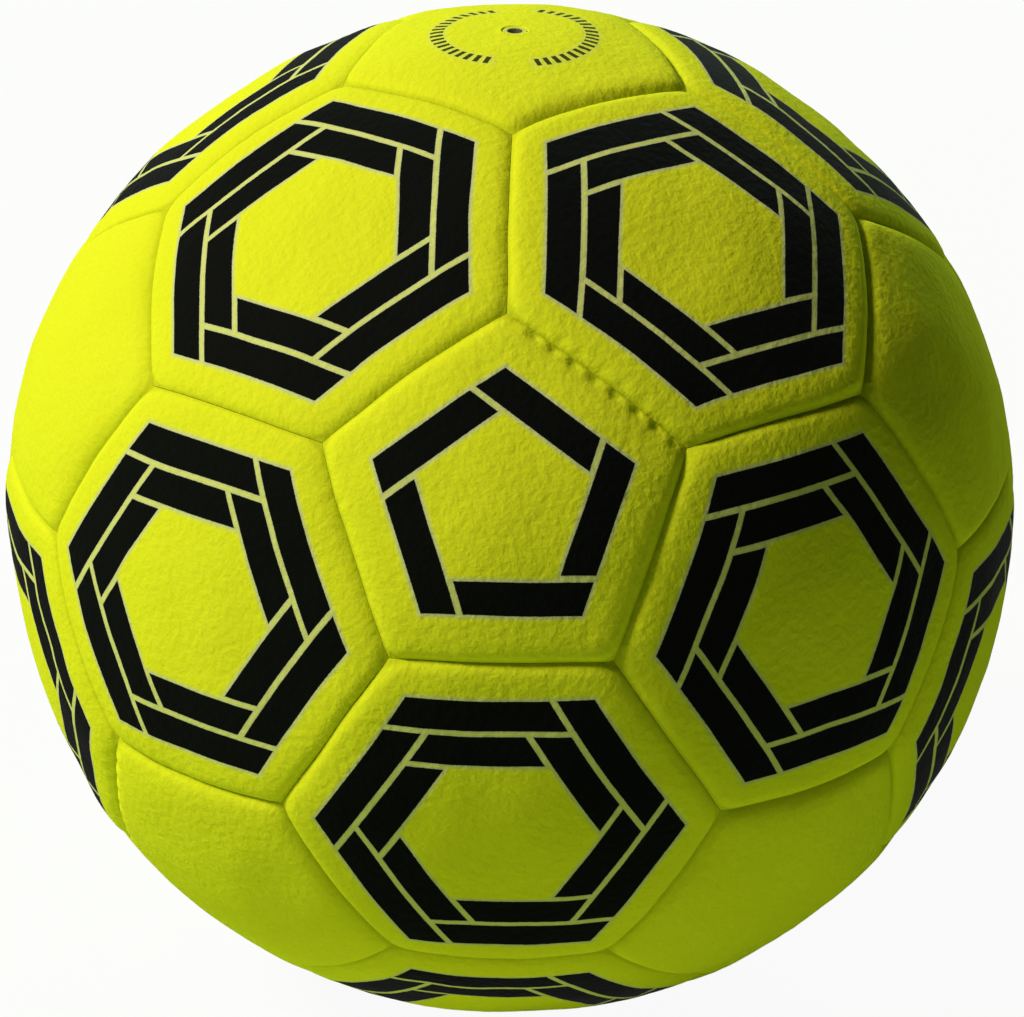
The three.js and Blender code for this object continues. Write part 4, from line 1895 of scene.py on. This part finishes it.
@dataclass
class Valve:
    """The rubber plug that takes the needle and the housing that it sits in.

    Attributes:
        cover: sizes of the cover.
        bladder: sizes of the bladder that the housing is bonded to.
        clearance: between the pieces.
        neck: radius of the plug where it passes through the felt.
        recess: how far the plug's face lies below the crowns.
        plug: radius of the plug's body.
        plug_length: from its shoulder, under the panel, to its tip.
        tip: radius of its tip.
        tip_length: length over which it narrows to its tip.
        collar: radius of the collar that keeps it in the housing.
        collar_height: height of the collar.
        collar_depth: how far the collar's top lies below the shoulder.
        mouth: radius of the needle's mouth.
        mouth_depth: depth over which the mouth narrows to the channel.
        needle: radius of the needle's channel.
        housing_wall: wall of the housing round the collar's groove.
        housing_tip_wall: wall of the housing at its foot.
        housing_length: from the plug's shoulder to the housing's foot.
        rim: radius of the housing's rim.
        rim_thickness: thickness of the rim at its edge.
        rim_root: thickness of the rim where it meets the housing.
        rim_drop: how far the rim lies below the bladder's skin.
        plug_rubber: finish of the plug.
        housing_rubber: finish of the housing.
    """

    cover: CoverSizes = field(default_factory=CoverSizes)
    bladder: Bladder = field(default_factory=Bladder)
    clearance: float = 0.3 * MM
    neck: float = 2.55 * MM
    recess: float = 0.6 * MM
    plug: float = 3.4 * MM
    plug_length: float = 15.0 * MM
    tip: float = 1.7 * MM
    tip_length: float = 4.0 * MM
    collar: float = 4.2 * MM
    collar_height: float = 2.0 * MM
    collar_depth: float = 4.5 * MM
    mouth: float = 1.6 * MM
    mouth_depth: float = 2.2 * MM
    needle: float = 0.7 * MM
    housing_wall: float = 1.8 * MM
    housing_tip_wall: float = 1.9 * MM
    housing_length: float = 13.5 * MM
    rim: float = 13.0 * MM
    rim_thickness: float = 1.3 * MM
    rim_root: float = 2.6 * MM
    rim_drop: float = 1.2 * MM
    plug_rubber: RubberFinish = RubberFinish(
        "plug_rubber", colour=(0.50, 0.56, 0.012), dust=(0.60, 0.64, 0.06), roughness=0.6
    )
    housing_rubber: RubberFinish = RubberFinish(
        "moulded_rubber", colour=(0.018, 0.018, 0.02), dust=(0.06, 0.06, 0.06), roughness=0.55
    )

    def build(self) -> None:
        """Makes both pieces and lets them stand for their nodes."""
        plug = Turning(self.plug_profile()).mesh("plug")
        plug.materials.append(self.plug_rubber.material(self.mouth))
        finish_piece("needle_plug", plug, "valve_plug")
        housing = Turning(self.housing_profile()).mesh("housing")
        housing.materials.append(self.housing_rubber.material())
        finish_piece("plug_housing", housing, "valve_housing")

    def shoulder_height(self) -> float:
        """Returns the height of the plug's shoulder, just under the panel."""
        return self.under_lining(self.plug)

    def under_lining(self, radius: float) -> float:
        """Returns the height of the space under the lining, at a radius from the axis."""
        below = BALL_RADIUS - self.cover.thickness - self.clearance
        return math.sqrt(below**2 - radius**2)

    def plug_profile(self) -> list[tuple[float, float]]:
        """Returns the plug's corners, from the needle's mouth down the channel and up outside."""
        face = BALL_RADIUS - self.recess
        shoulder = self.shoulder_height()
        collar_top = shoulder - self.collar_depth
        collar_foot = collar_top - self.collar_height
        tip = shoulder - self.plug_length
        return [
            (self.mouth, face),
            (self.needle, face - self.mouth_depth),
            (self.needle, tip),
            (self.tip, tip),
            (self.plug, tip + self.tip_length),
            (self.plug, collar_foot),
            (self.collar, collar_foot),
            (self.collar, collar_top),
            (self.plug, collar_top),
            (self.plug, shoulder),
            (self.neck, shoulder),
            (self.neck, face),
        ]

    def housing_profile(self) -> list[tuple[float, float]]:
        """Returns the housing's corners, from the top of its bore down and up outside."""
        bore = self.plug + self.clearance
        groove = self.collar + self.clearance
        outside = groove + self.housing_wall
        shoulder = self.shoulder_height()
        collar_top = shoulder - self.collar_depth + self.clearance
        collar_foot = shoulder - self.collar_depth - self.collar_height - self.clearance
        foot = shoulder - self.housing_length
        lining = BALL_RADIUS - self.cover.thickness
        under_skin = lining - 2 * self.clearance - self.bladder.wall - self.rim_drop
        rim_top = math.sqrt(under_skin**2 - outside**2)
        rim_edge = math.sqrt(under_skin**2 - self.rim**2)
        return [
            (bore, self.under_lining(bore)),
            (bore, collar_top),
            (groove, collar_top),
            (groove, collar_foot),
            (bore, collar_foot),
            (bore, foot),
            (bore + self.housing_tip_wall, foot),
            (outside, rim_top - self.rim_root),
            (self.rim, rim_edge - self.rim_thickness),
            (self.rim, rim_edge),
            (outside, rim_top),
            (outside, self.under_lining(outside)),
        ]


# The studio


@dataclass
class Floor:
    """A pale floor that shows white and keeps a faint shadow.

    Attributes:
        size: length of its sides.
        bounce: the colour that it throws back on the ball.
        whiteness: how much of what the camera sees of it is plain white.
    """

    size: float = 12.0
    bounce: Colour = (0.64, 0.78, 0.42)
    whiteness: float = 0.94

    def build(self) -> None:
        """Makes the floor under the ball."""
        half = self.size / 2
        corners = np.array([[-half, -half], [half, -half], [half, half], [-half, half]])
        points = np.column_stack([corners, np.full(len(corners), CAD_LOW.z)])
        mesh = mesh_of("floor", points, np.array([[0, 1, 2], [0, 2, 3]]))
        mesh.materials.append(self.material())
        link("floor", mesh)
        log.info("floor: %.1f m wide", self.size)

    def material(self) -> bpy.types.Material:
        """Makes a matt white that glows for the camera and in reflections only."""
        material = bpy.data.materials.new("pale_floor")
        material.use_nodes = True
        material.node_tree.nodes.clear()
        bench = NodeBench(material.node_tree)
        matt = bench.add("ShaderNodeBsdfDiffuse", {"Color": opaque(self.bounce)})
        glow = bench.add("ShaderNodeEmission", {"Strength": 1.0})
        share = bench.calc("MULTIPLY", bench.seen(), self.whiteness)
        mix = bench.add("ShaderNodeMixShader", {0: share, 1: matt.outputs[0], 2: glow.outputs[0]})
        bench.add("ShaderNodeOutputMaterial", {"Surface": mix.outputs[0]})
        return material


@dataclass(frozen=True)
class Lamp:
    """One square lamp that faces the ball.

    Attributes:
        name: name of the lamp.
        direction: from the ball to the lamp.
        level: brightness of a white surface that faces the lamp, at the ball.
        colour: colour of the light.
        size: width of the lamp.
        distance: from the ball's centre.
    """

    name: str
    direction: tuple[float, float, float]
    level: float
    colour: Colour
    size: float
    distance: float = 2.2

    def build(self) -> None:
        """Makes the lamp."""
        light = bpy.data.lights.new(self.name, "AREA")
        light.shape = "SQUARE"
        light.size = self.size
        light.color = self.colour
        light.energy = self.level * (math.pi * self.distance) ** 2
        thing = link(self.name, light)
        towards = Vector(self.direction).normalized()
        thing.location = towards * self.distance
        thing.rotation_mode = "QUATERNION"
        thing.rotation_quaternion = towards.to_track_quat("Z", "Y")
        log.info("%s lamp: %.1f W", self.name, light.energy)


@dataclass
class Studio:
    """A key lamp at the upper left, one behind the top, and a low even light.

    Attributes:
        lamps: the lamps.
        fill_level: brightness of the even light.
        fill_colour: colour of the even light.
    """

    lamps: tuple[Lamp, ...] = (
        Lamp("key", (-0.647, -0.159, 0.754), level=1.02, colour=(1.0, 0.95, 0.92), size=0.4),
        Lamp("back", (0.163, 0.87, 0.44), level=0.45, colour=(0.75, 1.0, 0.85), size=1.0),
    )
    fill_level: float = 0.004
    fill_colour: Colour = (0.86, 1.0, 0.96)

    def build(self) -> None:
        """Makes the lamps, and a world that shows white and lights the ball only a little."""
        for lamp in self.lamps:
            lamp.build()
        world = bpy.data.worlds.new("studio")
        world.use_nodes = True
        world.node_tree.nodes.clear()
        bench = NodeBench(world.node_tree)
        seen = bench.seen()
        colour = bench.blend(seen, self.fill_colour, (1.0, 1.0, 1.0))
        strength = bench.between(seen, self.fill_level, 1.0)
        light = bench.add("ShaderNodeBackground", {"Color": colour, "Strength": strength})
        bench.add("ShaderNodeOutputWorld", {"Surface": light.outputs[0]})
        bpy.context.scene.world = world


@dataclass
class Viewpoint:
    """The photograph's view of the ball.

    Attributes:
        distance: from the camera to the ball's centre.
        azimuth: of the camera round the ball, in degrees, 0 in front and towards +X from there.
        elevation: of the camera above the ball's centre, in degrees.
        roll: how far the picture's right side is tipped up, in degrees.
        focal_length: in pixels of the photograph.
        width: of the photograph, in pixels.
        height: of the photograph, in pixels.
        centre_x: where the ball's centre falls in the photograph, in pixels from the left.
        centre_y: the same, in pixels from the top.
        sensor: width of the camera's sensor, in millimetres.
        nearest: the least distance that the camera sees.
        farthest: the greatest distance that it sees.
    """

    distance: float = 8.0 * BALL_RADIUS
    azimuth: float = 0.91
    elevation: float = 25.92
    roll: float = 0.49
    focal_length: float = 4057.0
    width: int = 1024
    height: int = 1017
    centre_x: float = 510.8
    centre_y: float = 510.1
    sensor: float = 36.0
    nearest: float = 0.05
    farthest: float = 50.0

    def build(self) -> None:
        """Makes the camera."""
        azimuth = math.radians(self.azimuth)
        elevation = math.radians(self.elevation)
        back = Vector((
            math.sin(azimuth) * math.cos(elevation),
            -math.cos(azimuth) * math.cos(elevation),
            math.sin(elevation),
        ))
        level = Vector((math.cos(azimuth), math.sin(azimuth), 0.0))
        roll = math.radians(self.roll)
        right = level * math.cos(roll) + back.cross(level) * math.sin(roll)
        up = back.cross(right)
        pixel = self.distance / self.focal_length
        aside = right * ((self.width / 2 - self.centre_x) * pixel)
        above = up * ((self.centre_y - self.height / 2) * pixel)
        camera = bpy.data.cameras.new("camera")
        camera.sensor_width = self.sensor
        camera.lens = self.focal_length * self.sensor / self.width
        camera.clip_start = self.nearest
        camera.clip_end = self.farthest
        thing = link("camera", camera)
        axes = Matrix((right, up, back)).transposed().to_4x4()
        thing.matrix_world = Matrix.Translation(back * self.distance + aside + above) @ axes
        bpy.context.scene.camera = thing
        log.info("camera: %.1f mm lens", camera.lens)


def main() -> None:
    """Builds the ball and its studio."""
    logging.basicConfig(level=logging.INFO, format="%(name)s: %(message)s")
    bpy.context.scene.view_settings.view_transform = "Standard"
    Viewpoint().build()
    Cover().build()
    Sewing().build()
    Bladder().build()
    Valve().build()
    Floor().build()
    Studio().build()


if __name__ == "__main__":
    main()
